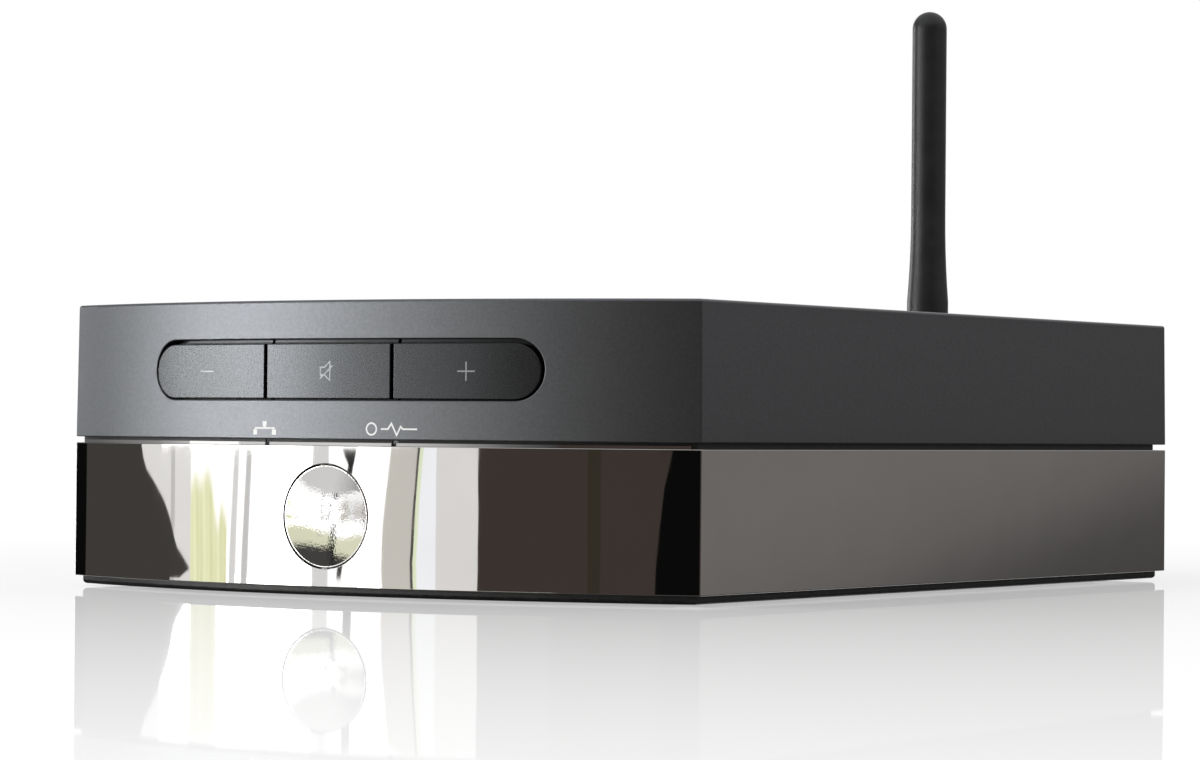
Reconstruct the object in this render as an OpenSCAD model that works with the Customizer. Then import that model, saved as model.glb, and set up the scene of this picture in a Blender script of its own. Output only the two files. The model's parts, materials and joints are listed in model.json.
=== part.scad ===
// Network music streamer: a bowed case in two storeys, with three keys in a round-ended slot, a domed
// power button, two indicator lights in the groove and a folding antenna at the rear.
// Millimetres. +X is right, +Y runs from the front to the rear and +Z is up. The origin is on the
// table, under the middle of the whole object's box, with the antenna upright.

/* [Body] */
// Width across the two sides
body_w = 155; // [145:1:185]
// Depth of the sides, from the front corners to the rear edges
body_d = 205; // [195:1:240]
// How far the middle of the front stands ahead of its corners
bow = 16; // [10:0.5:22]
// Height of the polished lower shell
lower_h = 28; // [26:0.5:36]
// Height of the groove between the two shells
groove_h = 1.2; // [0.9:0.1:2]
// Height of the grey upper shell
upper_h = 27.6; // [26:0.2:36]
// Height of the lower shell above the table
plinth_h = 2.2; // [2:0.1:5]
// How far the upper shell leans in by its top
lean = 0.4; // [0.1:0.1:1]
// Rounding of the upper shell's top edge
edge_r = 0.6; // [0.3:0.1:1.4]
// Rounding of the base plate's lower edge
base_edge_r = 0.8; // [0.3:0.1:1.2]

/* [Walls and fits] */
// Wall of both shells
wall = 2; // [1.8:0.1:3]
// Plate of the upper shell's top
top_t = 2.2; // [1.6:0.1:4]
// How far the groove and the plinth are set in from the shells
groove_in = 1.5; // [0.8:0.1:1.6]
// How far the rear panel is set in from the shells' rear edges
rear_in = 1.8; // [0.8:0.1:4]
// Thickness of the rear panel
panel_t = 1.6; // [1.2:0.1:3]
// Thickness of the middle frame's walls
frame_t = 3.5; // [3:0.1:5]
// How far the middle frame reaches into each shell
tongue_h = 3; // [2:0.5:5]
// Thickness of the lip that locates the lower shell on the base plate
lip_t = 1.4; // [1:0.1:1.8]
// Height of that lip
lip_h = 3; // [2:0.5:4]
// Gap between pieces that slip into each other
fit_gap = 0.2; // [0.1:0.05:0.3]
// Gap round a shaft or screw in its bore
run_gap = 0.05; // [0.03:0.01:0.08]
// Gap between moving faces
move_gap = 0.4; // [0.3:0.05:0.6]

/* [Posts, screws and feet] */
// Diameter of the middle frame's four posts
post_d = 8; // [7:0.5:9]
// Distance of the post centres from the upper shell's inner side walls
post_in = 6.5; // [5.5:0.5:8]
// Distance of the front posts behind the front corners
post_front = 10; // [7:0.5:14]
// Distance of the rear posts ahead of the rear panel
post_back = 9; // [7:0.5:14]
// Diameter of the upper shell's four bosses
boss_d = 7; // [6:0.5:9]
// Shank of the four long case screws
case_screw_d = 3; // [2.5:0.1:3.5]
// Length of thread that a case screw has in its boss
case_grip = 10; // [6:1:14]
// Shank of the small screws
small_screw_d = 2.2; // [1.8:0.1:2.6]
// Head of the small screws
small_head_d = 4.6; // [4:0.1:5.5]
// Height of the small screws' heads
small_head_h = 1.5; // [1:0.1:2]
// Diameter of the rubber feet
foot_d = 14; // [10:0.5:18]
// Thickness of the rubber feet
foot_t = 1.2; // [0.9:0.1:1.8]
// How far the feet stand out of the base plate
foot_out = 0.5; // [0.3:0.1:0.8]
// Distance of the feet from the sides
foot_side = 24; // [20:1:40]
// Distance of the feet from the front corners and from the rear edge
foot_end = 26; // [20:1:50]

/* [Keys] */
// Length of the slot that holds the three keys
slot_w = 95.6; // [84:0.4:100]
// Height of the slot
slot_h = 12; // [10:0.1:14]
// Height of the slot's middle above the upper shell's lower edge
slot_up = 13.8; // [12:0.1:15]
// Gap between the keys and the slot
key_gap = 0.55; // [0.5:0.05:1.2]
// How far the keys sit below the slot's middle
key_drop = 0.3; // [0:0.05:0.4]
// Gap between neighbouring keys
key_split = 0.7; // [0.6:0.1:2]
// How much shorter the middle key's place is than a third of the slot
key_trim = 0.8; // [0:0.1:2]
// How far the keys stand out of the shell
key_out = 0.15; // [0:0.05:1]
// How far the keys' flanges lap behind the shell
key_lap = 1.5; // [1:0.1:2]
// Thickness of the keys' flanges
key_flange_t = 1.2; // [1:0.1:2]
// Diameter of the keys' stems
key_stem_d = 5; // [4:0.1:6]
// Travel of the keys
key_travel = 0.8; // [0.4:0.1:1.2]

/* [Power button] */
// Diameter of the power button
button_d = 20.6; // [16:0.2:22]
// Height of its centre above the lower shell's lower edge
button_up = 14; // [13:0.1:15]
// Gap round the button
button_gap = 0.35; // [0.25:0.05:0.8]
// Rise of the button's dome
button_dome = 1.35; // [0.5:0.05:2]
// How far the dome's rim lies behind the front
button_rim = 0.3; // [0:0.05:0.5]
// How far the button's flange laps behind the shell
button_lap = 1.4; // [1:0.1:2]
// Thickness of the button's flange
button_flange_t = 1.2; // [1:0.1:2]
// Diameter of the button's stem
button_stem_d = 8; // [6:0.1:10]
// Travel of the button
button_travel = 1; // [0.5:0.1:1.4]

/* [Switches and lights] */
// Thickness of the two guides that the stems run in
guide_t = 3; // [2:0.5:4]
// Height of the two guides
guide_h = 16; // [14:0.5:18]
// Diameter of the pillars that carry the guides
pillar_d = 6; // [5:0.5:7]
// Least length of those pillars
pillar_l = 4; // [3.5:0.5:8]
// Side of a switch's square body
switch_w = 6; // [5:0.2:7]
// Height of a switch's body
switch_h = 3.6; // [3.4:0.1:5]
// Depth of the bore in a switch
switch_bore = 2.4; // [2.2:0.1:3]
// Diameter of a switch's plunger
plunger_d = 3.4; // [2.6:0.1:4]
// Distance of the two indicator lights from the middle
light_x = 15.6; // [11:0.1:20]
// Width of an indicator light
light_w = 1.2; // [0.8:0.1:2]
// Side of the indicators' diodes
diode_w = 2; // [1.4:0.1:3]
// Depth of the indicators' diodes
diode_t = 1; // [0.6:0.1:1.4]

/* [Antenna] */
// Height of the antenna's socket above the upper shell's lower edge
antenna_up = 13.8; // [11:0.1:17]
// Distance of the antenna's hinge behind the shells' rear edges
hinge_back = 27; // [24:0.5:32]
// Length of the mast from its hinge to its tip
mast_l = 92.9; // [80:0.1:120]
// Diameter of the mast
mast_d = 8.5; // [7:0.1:9]
// Diameter of the mast's foot
mast_foot_d = 10.2; // [9:0.1:10.2]
// Height above the hinge where the mast's straight foot ends
foot_l = 21; // [12:1:24]
// Height above the hinge where the mast's flare ends
flare_l = 42; // [30:1:60]
// Diameter of the knuckle that the mast folds in
knuckle_d = 10.4; // [10.2:0.1:12]
// Thickness of the mast's tongue
tongue_w = 4.4; // [3.6:0.1:5]
// Diameter of the hinge pin
pin_d = 2; // [1.6:0.1:2.6]
// Diameter of the radiating wire inside the mast
element_d = 2.6; // [2:0.1:3]
// Thread diameter of the antenna's socket
barrel_d = 6.2; // [6:0.1:6.6]
// How far the socket reaches out of the rear panel
barrel_l = 7.5; // [6.5:0.1:9]
// Width across the flats of the socket's nut
nut_w = 8; // [7.6:0.1:10]
// Thickness of the socket's nut
nut_t = 2.2; // [1.6:0.1:2.6]
// Diameter of the knurled coupling
coupling_d = 9.4; // [9:0.1:11]
// Wall at the coupling's rear end
coupling_t = 2; // [1.5:0.1:3]
// Diameter of the neck that turns in the coupling
neck_d = 5.2; // [4.6:0.1:5.4]
// Diameter of the inner lead
lead_d = 1.8; // [1.4:0.1:2.2]

/* [Boards] */
// Thickness of the circuit boards
board_t = 1.6; // [1.2:0.1:2]
// Depth of the main board
board_d = 150; // [140:1:155]
// Height of the main board above the base plate
board_lift = 5; // [4:0.5:6]
// Gap between the main board and the posts beside it
board_gap = 1.6; // [1:0.1:4]
// Gap between the main board and the rear panel
board_back = 1; // [0.5:0.1:3]
// Diameter of the main board's standoffs
stand_d = 6; // [5:0.5:7]
// Distance of the standoffs from the board's sides and front edge
stand_in = 6; // [5:0.5:8]
// Distance of the rear standoffs from the board's rear edge
stand_back = 34; // [28:1:40]
// Width of the flat ribbon cables
ribbon_w = 10; // [6:1:14]
// Thickness of the flat ribbon cables
ribbon_t = 0.3; // [0.2:0.05:0.5]

/* [Rear sockets] */
// Distance of the outermost sockets from the rear panel's side edges
socket_edge = 22; // [20:0.5:26]
// Distance between neighbouring phono jacks
jack_pitch = 18; // [14:0.5:18]
// Outer diameter of a phono jack's collar
collar_d = 8.3; // [8.2:0.05:8.4]
// Wall of the collar
collar_t = 0.7; // [0.5:0.05:0.9]
// How far the collars reach out of the rear panel
collar_l = 8.5; // [7:0.5:10]
// Diameter of the centre contact's hole
contact_d = 3.2; // [3.15:0.05:3.4]
// Height of the jacks' axis above the main board
jack_up = 6.5; // [6:0.1:8]
// Width of the jacks' block
block_w = 10; // [9:0.5:12]
// Distance between the power, network and optical sockets
socket_pitch = 20; // [18:0.5:22]
// Width of the network socket
net_w = 16; // [15.5:0.1:17]
// Height of the network socket
net_h = 13.5; // [13.2:0.1:14]
// Depth of the network socket
net_d = 21; // [18:0.5:24]
// Width of the network socket's mouth
net_mouth_w = 11.8; // [11.7:0.1:12.2]
// Height of the network socket's mouth
net_mouth_h = 7; // [6.8:0.1:7.4]
// Side of the optical socket
optical_w = 10; // [9.6:0.1:11]
// Depth of the optical socket
optical_d = 14; // [13:0.5:18]
// Wall of the optical socket
optical_wall = 1; // [0.9:0.1:1.2]
// Thickness of the optical socket's shutter
shutter_t = 0.8; // [0.6:0.1:1]
// Width of the power socket
dc_w = 9; // [8.4:0.1:10]
// Height of the power socket
dc_h = 11; // [10:0.1:12]
// Depth of the power socket
dc_d = 14; // [13:0.5:16]
// Bore of the power socket
dc_bore = 5.8; // [5.6:0.1:6.4]
// Diameter of the power socket's centre pin
dc_pin_d = 2; // [1.9:0.05:2.5]

/* [Hidden] */
$fn = 96;

// Allowance past a face, so that a cut leaves no skin
past = 1;

// Places along Y
bow_r = (body_w * body_w / 4 + bow * bow) / (2 * bow);
crown_out = max(button_dome - button_rim, 0);
overall_d = crown_out + bow + body_d + hinge_back + knuckle_d / 2;
tip_y = crown_out - overall_d / 2;
corner_y = tip_y + bow;
rear_y = corner_y + body_d;
bow_cy = tip_y + bow_r;
panel_y = rear_y - rear_in;
inside_y = panel_y - panel_t;
hinge_y = rear_y + hinge_back;

// Heights above the table
groove_z = plinth_h + lower_h;
upper_z = groove_z + groove_h;
top_z = upper_z + upper_h;
slot_z = upper_z + slot_up;
key_z = slot_z - key_drop;
button_z = plinth_h + button_up;
light_z = groove_z + groove_h / 2;
antenna_z = upper_z + antenna_up;
tongue_top = upper_z + tongue_h;
board_top = plinth_h + board_lift + board_t;

// Insets from the outline of the lower shell
upper_in = wall + lean;
frame_in = upper_in + fit_gap;
panel_half = body_w / 2 - frame_in;

// Posts, feet and boards
post_x = body_w / 2 - upper_in - post_in;
front_post_y = corner_y + post_front;
rear_post_y = inside_y - post_back;
foot_x = body_w / 2 - foot_side;
front_foot_y = corner_y + foot_end;
rear_foot_y = rear_y - foot_end;
board_half = post_x - post_d / 2 - board_gap;
board_rear = inside_y - board_back;
board_front = board_rear - board_d;
stand_x = board_half - stand_in;
front_stand_y = board_front + stand_in;
rear_stand_y = board_rear - stand_back;
case_head_d = 2 * case_screw_d;
case_head_h = case_screw_d / 2;
screw_end_gap = 0.5;
stand_grip = board_lift - screw_end_gap;

// Plastic left round a pillar, and board left round a diode
guide_margin = 1;

// Key stack: flange, guide, switch and board, one behind the other
key_pitch = slot_w / 3;
split_x = (key_pitch - key_trim) / 2;
key_face_r = bow_r - lean / 2 + key_out;
key_flange_r = bow_r - upper_in - move_gap;
key_fix_x = slot_w / 2 + key_lap + fit_gap + pillar_d / 2 + guide_margin;
key_half = key_fix_x + pillar_d / 2 + guide_margin;
key_flange_y = front_at(slot_w / 2 + key_lap, bow_r - key_flange_r + key_flange_t);
key_guide_y = max(front_at(key_half, upper_in) + pillar_l, key_flange_y + key_travel + move_gap);
key_stem_y = key_guide_y + guide_t + move_gap;
key_switch_y = key_stem_y + key_travel + move_gap;
key_board_y = key_switch_y + switch_h;
key_board_low = light_z - diode_w - guide_margin;
key_board_high = slot_z + guide_h / 2;

// Power button stack, in the same order
button_hole_d = button_d + 2 * button_gap;
button_flange_d = button_hole_d + 2 * button_lap;
button_flange_y = front_at(button_flange_d / 2, wall) + move_gap;
power_fix_x = button_flange_d / 2 + fit_gap + pillar_d / 2 + guide_margin;
power_half = power_fix_x + pillar_d / 2 + guide_margin;
power_guide_y = max(
    front_at(power_half, wall) + pillar_l,
    button_flange_y + button_flange_t + button_travel + move_gap
);
power_stem_y = power_guide_y + guide_t + move_gap;
power_switch_y = power_stem_y + button_travel + move_gap;
power_board_y = power_switch_y + switch_h;

// Antenna, measured out from the rear panel
barrel_end_y = panel_y + barrel_l;
coupling_y = panel_y + nut_t + fit_gap;
neck_head_t = 1.2;
coupling_wall_y = barrel_end_y + neck_head_t + 2 * move_gap;
coupling_end_y = coupling_wall_y + coupling_t;
knuckle_y = coupling_end_y + fit_gap;
mast_foot_z = knuckle_d / 2 + move_gap;
tongue_relief = 0.1;
tongue_r = mast_foot_d / 2 - tongue_relief;
flare_rise = (mast_foot_d - mast_d) / 2;
flare_drop = flare_l - foot_l;
flare_r = (flare_drop * flare_drop + flare_rise * flare_rise) / (2 * flare_rise);
element_seat = 3;
element_foot = mast_foot_z + element_seat;
element_top = mast_l - mast_d;
knurl_n = 18;
knurl_d = 0.9;

// Rear sockets
socket_x = panel_half - socket_edge;
jack_xs = [for (i = [0 : 2]) i * jack_pitch - socket_x];
dc_x = socket_x;
net_x = dc_x - socket_pitch;
optical_x = net_x - socket_pitch;
jack_z = board_top + jack_up;
block_h = 2 * jack_up;
block_d = 9;
socket_out = 0.4;
mouth_d = 14;
net_floor = 2.4;
net_mouth_z = board_top + net_floor;
latch_w = 6;
latch_h = 2.4;
contact_n = 8;
contact_pitch = 1.1;
contact_w = 0.4;
contact_in = 3;
insulator_in = 0.5;
optical_z = board_top + optical_w / 2;
optical_mouth = optical_w - 2 * optical_wall;
optical_mouth_d = 10;
shutter_gap = 0.3;
shutter_pin_d = 1;
shutter_pin_l = 0.5;
shutter_in = 0.5;
shutter_y = panel_y + socket_out - shutter_in - shutter_t / 2;
shutter_z = optical_z + optical_mouth / 2 - shutter_gap - shutter_pin_d / 2;
dc_z = board_top + dc_h / 2;
dc_bore_d = 10;
vent_n = 8;
vent_w = 2;
vent_h = 12;
vent_pitch = 4.2;
vent_x = 16;
panel_screw_in = 4;
panel_screw_x = post_x - post_d / 2 - small_head_d - panel_screw_in;
panel_screw_l = 8;

// Parts of the main board, placed from its rear edge, its sides or the socket ahead of which they stand
processor_w = 22;
processor_t = 1.8;
processor_back = 66;
processor_y = board_rear - processor_back;
sink_w = 28;
sink_h = 9;
sink_base = 2;
sink_fins = 7;
fin_t = 1.2;
module_w = 22;
module_d = 18;
module_t = 2.4;
module_x = -22;
module_back = 52;
module_y = board_rear - module_back;
plug_d = 3;
plug_h = 1.5;
memory_w = 11;
memory_d = 8;
memory_t = 1.2;
memory_pitch = 14;
memory_back = 92;
audio_w = 9;
audio_t = 1.2;
audio_in = 19;
audio_back = 50;
amp_w = 5;
amp_d = 4;
amp_t = 1.4;
amp_in = 15;
amp_pitch = 10;
amp_back = 36;
cap_n = 4;
cap_d = 8;
cap_h = 11;
cap_in = 13;
cap_pitch = 11;
cap_back = 74;
big_cap_d = 10;
big_cap_h = 13;
big_cap_in = 15;
big_cap_pitch = 14;
big_cap_back = 42;
coil_w = 10;
coil_t = 4;
coil_in = 16;
coil_pitch = 14;
coil_back = 78;

// Cables
ribbon_socket_t = 4;
ribbon_socket_d = 3;
ribbon_edge = 1;
ribbon_socket_w = ribbon_w + 2 * ribbon_edge;
ribbon_in = 8;
key_ribbon_x = 34;
key_ribbon_up = 8;
key_ribbon_z = light_z + key_ribbon_up;
power_ribbon_x = 0;
power_ribbon_down = 4;
power_ribbon_z = button_z - power_ribbon_down;
ribbon_rise = ribbon_socket_t / 2;
ribbon_bend = 18;
ribbon_steps = 16;
lead_sides = 8;
lead_steps = 26;
lead_reach = 26;
lead_drop = 22;
socket_tail = 6;

// The front's own Y at a distance x from the middle, set in by inset
function front_at(x, inset) = bow_cy - sqrt(pow(bow_r - inset, 2) - x * x);
// A point on a cubic curve with four control points
function bezier(p, t) =
    pow(1 - t, 3) * p[0] + 3 * t * pow(1 - t, 2) * p[1] + 3 * t * t * (1 - t) * p[2] + pow(t, 3) * p[3];
// The direction of that curve
function bezier_way(p, t) =
    let (d = pow(1 - t, 2) * (p[1] - p[0]) + 2 * t * (1 - t) * (p[2] - p[1]) + t * t * (p[3] - p[2]))
    d / norm(d);

// Shared shapes

// A flat outline pushed from y0 to y1, its own Y standing up
module extrude_y(y0, y1) {
    translate([0, y1, 0]) rotate([90, 0, 0]) linear_extrude(y1 - y0) children();
}

// A round bar along Y
module bar_y(y0, y1, d) {
    translate([0, y0, 0]) rotate([-90, 0, 0]) cylinder(h = y1 - y0, d = d);
}

// A round bar along X, centred
module bar_x(l, d) {
    rotate([0, 90, 0]) cylinder(h = l, d = d, center = true);
}

// The case's plan, set in by inset all round and by back at the rear
module plan(inset, back) {
    half = body_w / 2 - inset;
    split = front_at(half, inset);
    translate([-half, split]) square([2 * half, rear_y - back - split]);
    intersection() {
        translate([0, bow_cy]) circle(r = bow_r - inset, $fn = 360);
        translate([-half, tip_y - past]) square([2 * half, split - tip_y + 2 * past]);
    }
}

// Half of a block's upright section: it runs from x = from to x = w and leans in by its top
module edge_profile(from, w, h, lean_in, top_r, low_r) {
    a = atan(lean_in / h);
    cx = w - (top_r + (h - top_r) * sin(a)) / cos(a);
    corner = top_r > 0
        ? [[cx + top_r * cos(a), h - top_r + top_r * sin(a)], [cx, h]]
        : [[w - lean_in, h]];
    foot = low_r > 0 ? [[w - low_r, 0], [w, low_r]] : [[w, 0]];
    polygon(concat([[from, 0]], foot, corner, [[from, h]]));
    if (top_r > 0) translate([cx, h - top_r]) circle(r = top_r);
    if (low_r > 0) translate([w - low_r, low_r]) circle(r = low_r);
}

// A block with the case's plan, whose walls lean in and whose top or lower edge is rounded
module bowed_block(h, inset, back, lean_in, top_r, low_r) {
    half = body_w / 2 - inset;
    far = rear_y - back - tip_y;
    intersection() {
        union() {
            translate([0, bow_cy, 0])
                rotate_extrude($fn = 360) edge_profile(0, bow_r - inset, h, lean_in, top_r, low_r);
            translate([-body_w, corner_y + bow / 2, 0]) cube([2 * body_w, body_d, h]);
        }
        extrude_y(tip_y - past, rear_y + past) {
            edge_profile(-half / 2, half, h, lean_in, top_r, low_r);
            mirror([1, 0]) edge_profile(-half / 2, half, h, lean_in, top_r, low_r);
        }
        translate([-body_w, tip_y, 0])
            rotate([90, 0, 90])
                linear_extrude(2 * body_w) edge_profile(-bow, far, h, 0, top_r, low_r);
    }
}

// A slot's outline with round ends
module stadium(w, h) {
    square([w - h, h], center = true);
    for (side = [-1, 1]) translate([side * (w - h) / 2, 0]) circle(d = h);
}

// What stands at each of the four posts
module at_posts() {
    for (side = [-1, 1], y = [front_post_y, rear_post_y]) translate([side * post_x, y, 0]) children();
}

// What stands at each of the main board's standoffs
module at_stands() {
    for (side = [-1, 1], y = [front_stand_y, rear_stand_y]) translate([side * stand_x, y, 0]) children();
}

// A small pan-head screw along +Z, its head below z = 0, with a cross in it
module small_screw(l) {
    cross_l = 0.6 * small_head_d;
    cross_w = 0.3 * small_screw_d;
    cross_depth = small_head_h / 2;
    difference() {
        translate([0, 0, -small_head_h]) cylinder(h = small_head_h, d = small_head_d);
        for (turn = [0, 90])
            rotate(turn)
                translate([0, 0, -small_head_h])
                    cube([cross_l, cross_w, 2 * cross_depth], center = true);
    }
    cylinder(h = l, d = small_screw_d);
}

// A pair of pillars on a front wall, bored for the screws that hold a guide
module pillars(fix_x, z, inset, end_y) {
    bore_y = front_at(fix_x, inset);
    difference() {
        intersection() {
            for (side = [-1, 1]) translate([side * fix_x, 0, z]) bar_y(tip_y, end_y, pillar_d);
            translate([0, 0, z - pillar_d]) linear_extrude(2 * pillar_d) plan(inset - wall / 2, 0);
        }
        for (side = [-1, 1])
            translate([side * fix_x, 0, z]) bar_y(bore_y, end_y + past, small_screw_d + 2 * run_gap);
    }
}

// A guide: a plate with bores for the stems, and a tube at each end that carries the board
module stem_guide(half, fix_x, z, y, board_y, stems, stem_d) {
    translate([0, 0, z])
        difference() {
            union() {
                translate([-half, y, -guide_h / 2]) cube([2 * half, guide_t, guide_h]);
                for (side = [-1, 1])
                    translate([side * fix_x, 0, 0]) bar_y(y + guide_t / 2, board_y, pillar_d);
            }
            for (stem = stems)
                translate(stem) bar_y(y - past, y + guide_t + past, stem_d + 2 * run_gap);
            for (side = [-1, 1])
                translate([side * fix_x, 0, 0])
                    bar_y(y - past, board_y + past, small_screw_d + 2 * run_gap);
        }
}

// The two screws that hold a board and its guide to their pillars
module stack_screws(fix_x, z, board_y, guide_y) {
    l = board_y + board_t - guide_y + pillar_l - past;
    for (side = [-1, 1])
        translate([side * fix_x, board_y + board_t, z]) rotate([90, 0, 0]) small_screw(l);
}

// A push switch's body on its board
module switch_body(y) {
    difference() {
        translate([-switch_w / 2, y, -switch_w / 2]) cube([switch_w, switch_h, switch_w]);
        bar_y(y - past, y + switch_bore, plunger_d + 2 * run_gap);
    }
}

// A push switch's plunger, from the stem that presses it to its rest inside the switch
module plunger(stem_y, switch_y, travel) {
    bar_y(stem_y, switch_y + switch_bore - travel - move_gap, plunger_d);
}

// A flat cable along a curve in the Y and Z plane
module ribbon(points) {
    half = ribbon_t / 2;
    ts = [for (i = [0 : ribbon_steps]) i / ribbon_steps];
    line = [for (t = ts) bezier(points, t)];
    ways = [for (t = ts) bezier_way(points, t)];
    upper = [for (i = [0 : ribbon_steps]) line[i] + half * [-ways[i][1], ways[i][0]]];
    lower = [for (i = [ribbon_steps : -1 : 0]) line[i] - half * [-ways[i][1], ways[i][0]]];
    translate([-ribbon_w / 2, 0, 0])
        rotate([90, 0, 90]) linear_extrude(ribbon_w) polygon(concat(upper, lower));
}

// The curve of a cable that leaves a board at y, z and enters its socket on the main board
function ribbon_curve(y, z) = [
    [y, z],
    [y + ribbon_bend, z],
    [board_front + ribbon_in - ribbon_bend, board_top + ribbon_rise],
    [board_front + ribbon_in, board_top + ribbon_rise]
];

// A key with its flange behind the shell and its stem; place is -1, 0 or 1
module key(place) {
    stem_x = place * key_pitch;
    left = place < 0 ? -slot_w : (2 * place - 1) * split_x + key_split / 2;
    right = place > 0 ? slot_w : (2 * place + 1) * split_x - key_split / 2;
    flange_mid = key_flange_r - key_flange_t / 2;
    low = key_z - slot_h;
    intersection() {
        bow_band(key_face_r, flange_mid, low, 2 * slot_h);
        translate([0, 0, key_z])
            extrude_y(tip_y - bow, corner_y + bow)
                intersection() {
                    stadium(slot_w - 2 * key_gap, slot_h - 2 * key_gap);
                    translate([left, -slot_h]) square([right - left, 2 * slot_h]);
                }
    }
    intersection() {
        bow_band(key_flange_r, key_flange_r - key_flange_t, low, 2 * slot_h);
        translate([0, 0, slot_z])
            extrude_y(tip_y - bow, corner_y + bow)
                intersection() {
                    stadium(slot_w + 2 * key_lap, slot_h + 2 * key_lap);
                    translate([left, -slot_h]) square([right - left, 2 * slot_h]);
                }
    }
    translate([stem_x, 0, key_z])
        bar_y(front_at(stem_x, bow_r - flange_mid), key_stem_y, key_stem_d);
}

// An upright band of the bow, between two radii
module bow_band(outer_r, inner_r, z, h) {
    translate([0, 0, z])
        linear_extrude(h)
            difference() {
                translate([0, bow_cy]) circle(r = outer_r, $fn = 360);
                translate([0, bow_cy]) circle(r = inner_r, $fn = 360);
                translate([-2 * bow_r, corner_y + bow]) square([4 * bow_r, 4 * bow_r]);
            }
}

// The room that the power button's flange needs behind the lower shell's wall
module button_room() {
    start_y = tip_y + wall;
    end_y = button_flange_y + button_flange_t + button_travel + move_gap;
    translate([0, 0, button_z]) bar_y(start_y, end_y, button_flange_d + 2 * move_gap);
}

// The case

// Black base plate: carries the feet, the lower shell and the main board
module base_plate() color([0.1, 0.1, 0.1]) {
    base_t = plinth_h - foot_out;
    lip_in = wall + fit_gap;
    lip_back = rear_in + panel_t + fit_gap;
    difference() {
        union() {
            translate([0, 0, foot_out]) bowed_block(base_t, groove_in, rear_in, 0, 0, base_edge_r);
            translate([0, 0, plinth_h - base_t / 2])
                linear_extrude(lip_h + base_t / 2)
                    difference() {
                        plan(lip_in, lip_back);
                        plan(lip_in + lip_t, lip_back - past);
                    }
            at_stands()
                translate([0, 0, plinth_h - base_t / 2])
                    cylinder(h = board_lift + base_t / 2, d = stand_d);
        }
        at_posts() {
            translate([0, 0, foot_out - past])
                cylinder(h = plinth_h + past, d = case_screw_d + 2 * run_gap);
            translate([0, 0, foot_out])
                cylinder(h = case_head_h, d1 = case_head_d + 2 * run_gap, d2 = case_screw_d + 2 * run_gap);
        }
        for (side = [-1, 1], y = [front_foot_y, rear_foot_y])
            translate([side * foot_x, y, foot_out - past])
                cylinder(h = foot_t - foot_out + past, d = foot_d + 2 * fit_gap);
        at_stands()
            translate([0, 0, plinth_h])
                cylinder(h = board_lift + past, d = small_screw_d + 2 * run_gap);
        button_room();
    }
}

// Four rubber feet, let into the base plate
module rubber_feet() color([0.06, 0.06, 0.06]) {
    for (side = [-1, 1], y = [front_foot_y, rear_foot_y])
        translate([side * foot_x, y, 0]) cylinder(h = foot_t, d = foot_d);
}

// Polished lower shell: the bowed front and both sides in one piece, open at the rear
module lower_shell() color([0.62, 0.6, 0.58]) {
    difference() {
        translate([0, 0, plinth_h]) linear_extrude(lower_h) plan(0, 0);
        translate([0, 0, plinth_h - past]) linear_extrude(lower_h + 2 * past) plan(wall, -past);
        translate([0, 0, button_z]) bar_y(tip_y - past, corner_y, button_hole_d);
    }
    pillars(power_fix_x, button_z, wall, power_guide_y);
}

// Black middle frame: shows in the groove, and its hollow posts stand on the base plate
module middle_frame() color([0.08, 0.08, 0.08]) {
    back = rear_in + panel_t;
    inner = frame_in + frame_t;
    tongue_z = groove_z - tongue_h;
    window_w = light_w + 2 * fit_gap;
    difference() {
        union() {
            translate([0, 0, groove_z])
                linear_extrude(groove_h)
                    difference() {
                        plan(groove_in, back);
                        plan(inner, back + frame_t);
                    }
            translate([0, 0, tongue_z])
                linear_extrude(groove_h + 2 * tongue_h)
                    difference() {
                        plan(frame_in, back);
                        plan(inner, back + frame_t);
                    }
            at_posts() translate([0, 0, plinth_h]) cylinder(h = tongue_top - plinth_h, d = post_d);
            for (side = [-1, 1])
                translate([side * panel_screw_x, 0, light_z])
                    bar_y(inside_y - panel_screw_l - past, inside_y, pillar_d);
        }
        at_posts()
            translate([0, 0, plinth_h - past])
                cylinder(h = tongue_top - plinth_h + 2 * past, d = case_screw_d + 2 * run_gap);
        for (side = [-1, 1])
            translate([side * panel_screw_x, 0, light_z])
                bar_y(inside_y - panel_screw_l, inside_y + past, small_screw_d + 2 * run_gap);
        for (side = [-1, 1])
            translate([side * light_x - window_w / 2, tip_y, groove_z - fit_gap])
                cube([window_w, front_at(light_x, inner) - tip_y + past, groove_h + 2 * fit_gap]);
        button_room();
    }
}

// Grey upper shell: top, bowed front and sides in one casting, with the keys' slot
module upper_shell() color([0.24, 0.24, 0.25]) {
    difference() {
        translate([0, 0, upper_z]) bowed_block(upper_h, 0, 0, lean, edge_r, 0);
        translate([0, 0, upper_z - past]) linear_extrude(upper_h - top_t + past) plan(upper_in, -past);
        translate([0, 0, slot_z]) extrude_y(tip_y - past, corner_y + bow / 2) stadium(slot_w, slot_h);
    }
    at_posts()
        difference() {
            translate([0, 0, tongue_top]) cylinder(h = top_z - top_t / 2 - tongue_top, d = boss_d);
            translate([0, 0, tongue_top - past])
                cylinder(h = case_grip + 2 * past, d = case_screw_d + 2 * run_gap);
        }
    pillars(key_fix_x, slot_z, upper_in, key_guide_y);
}

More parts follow.
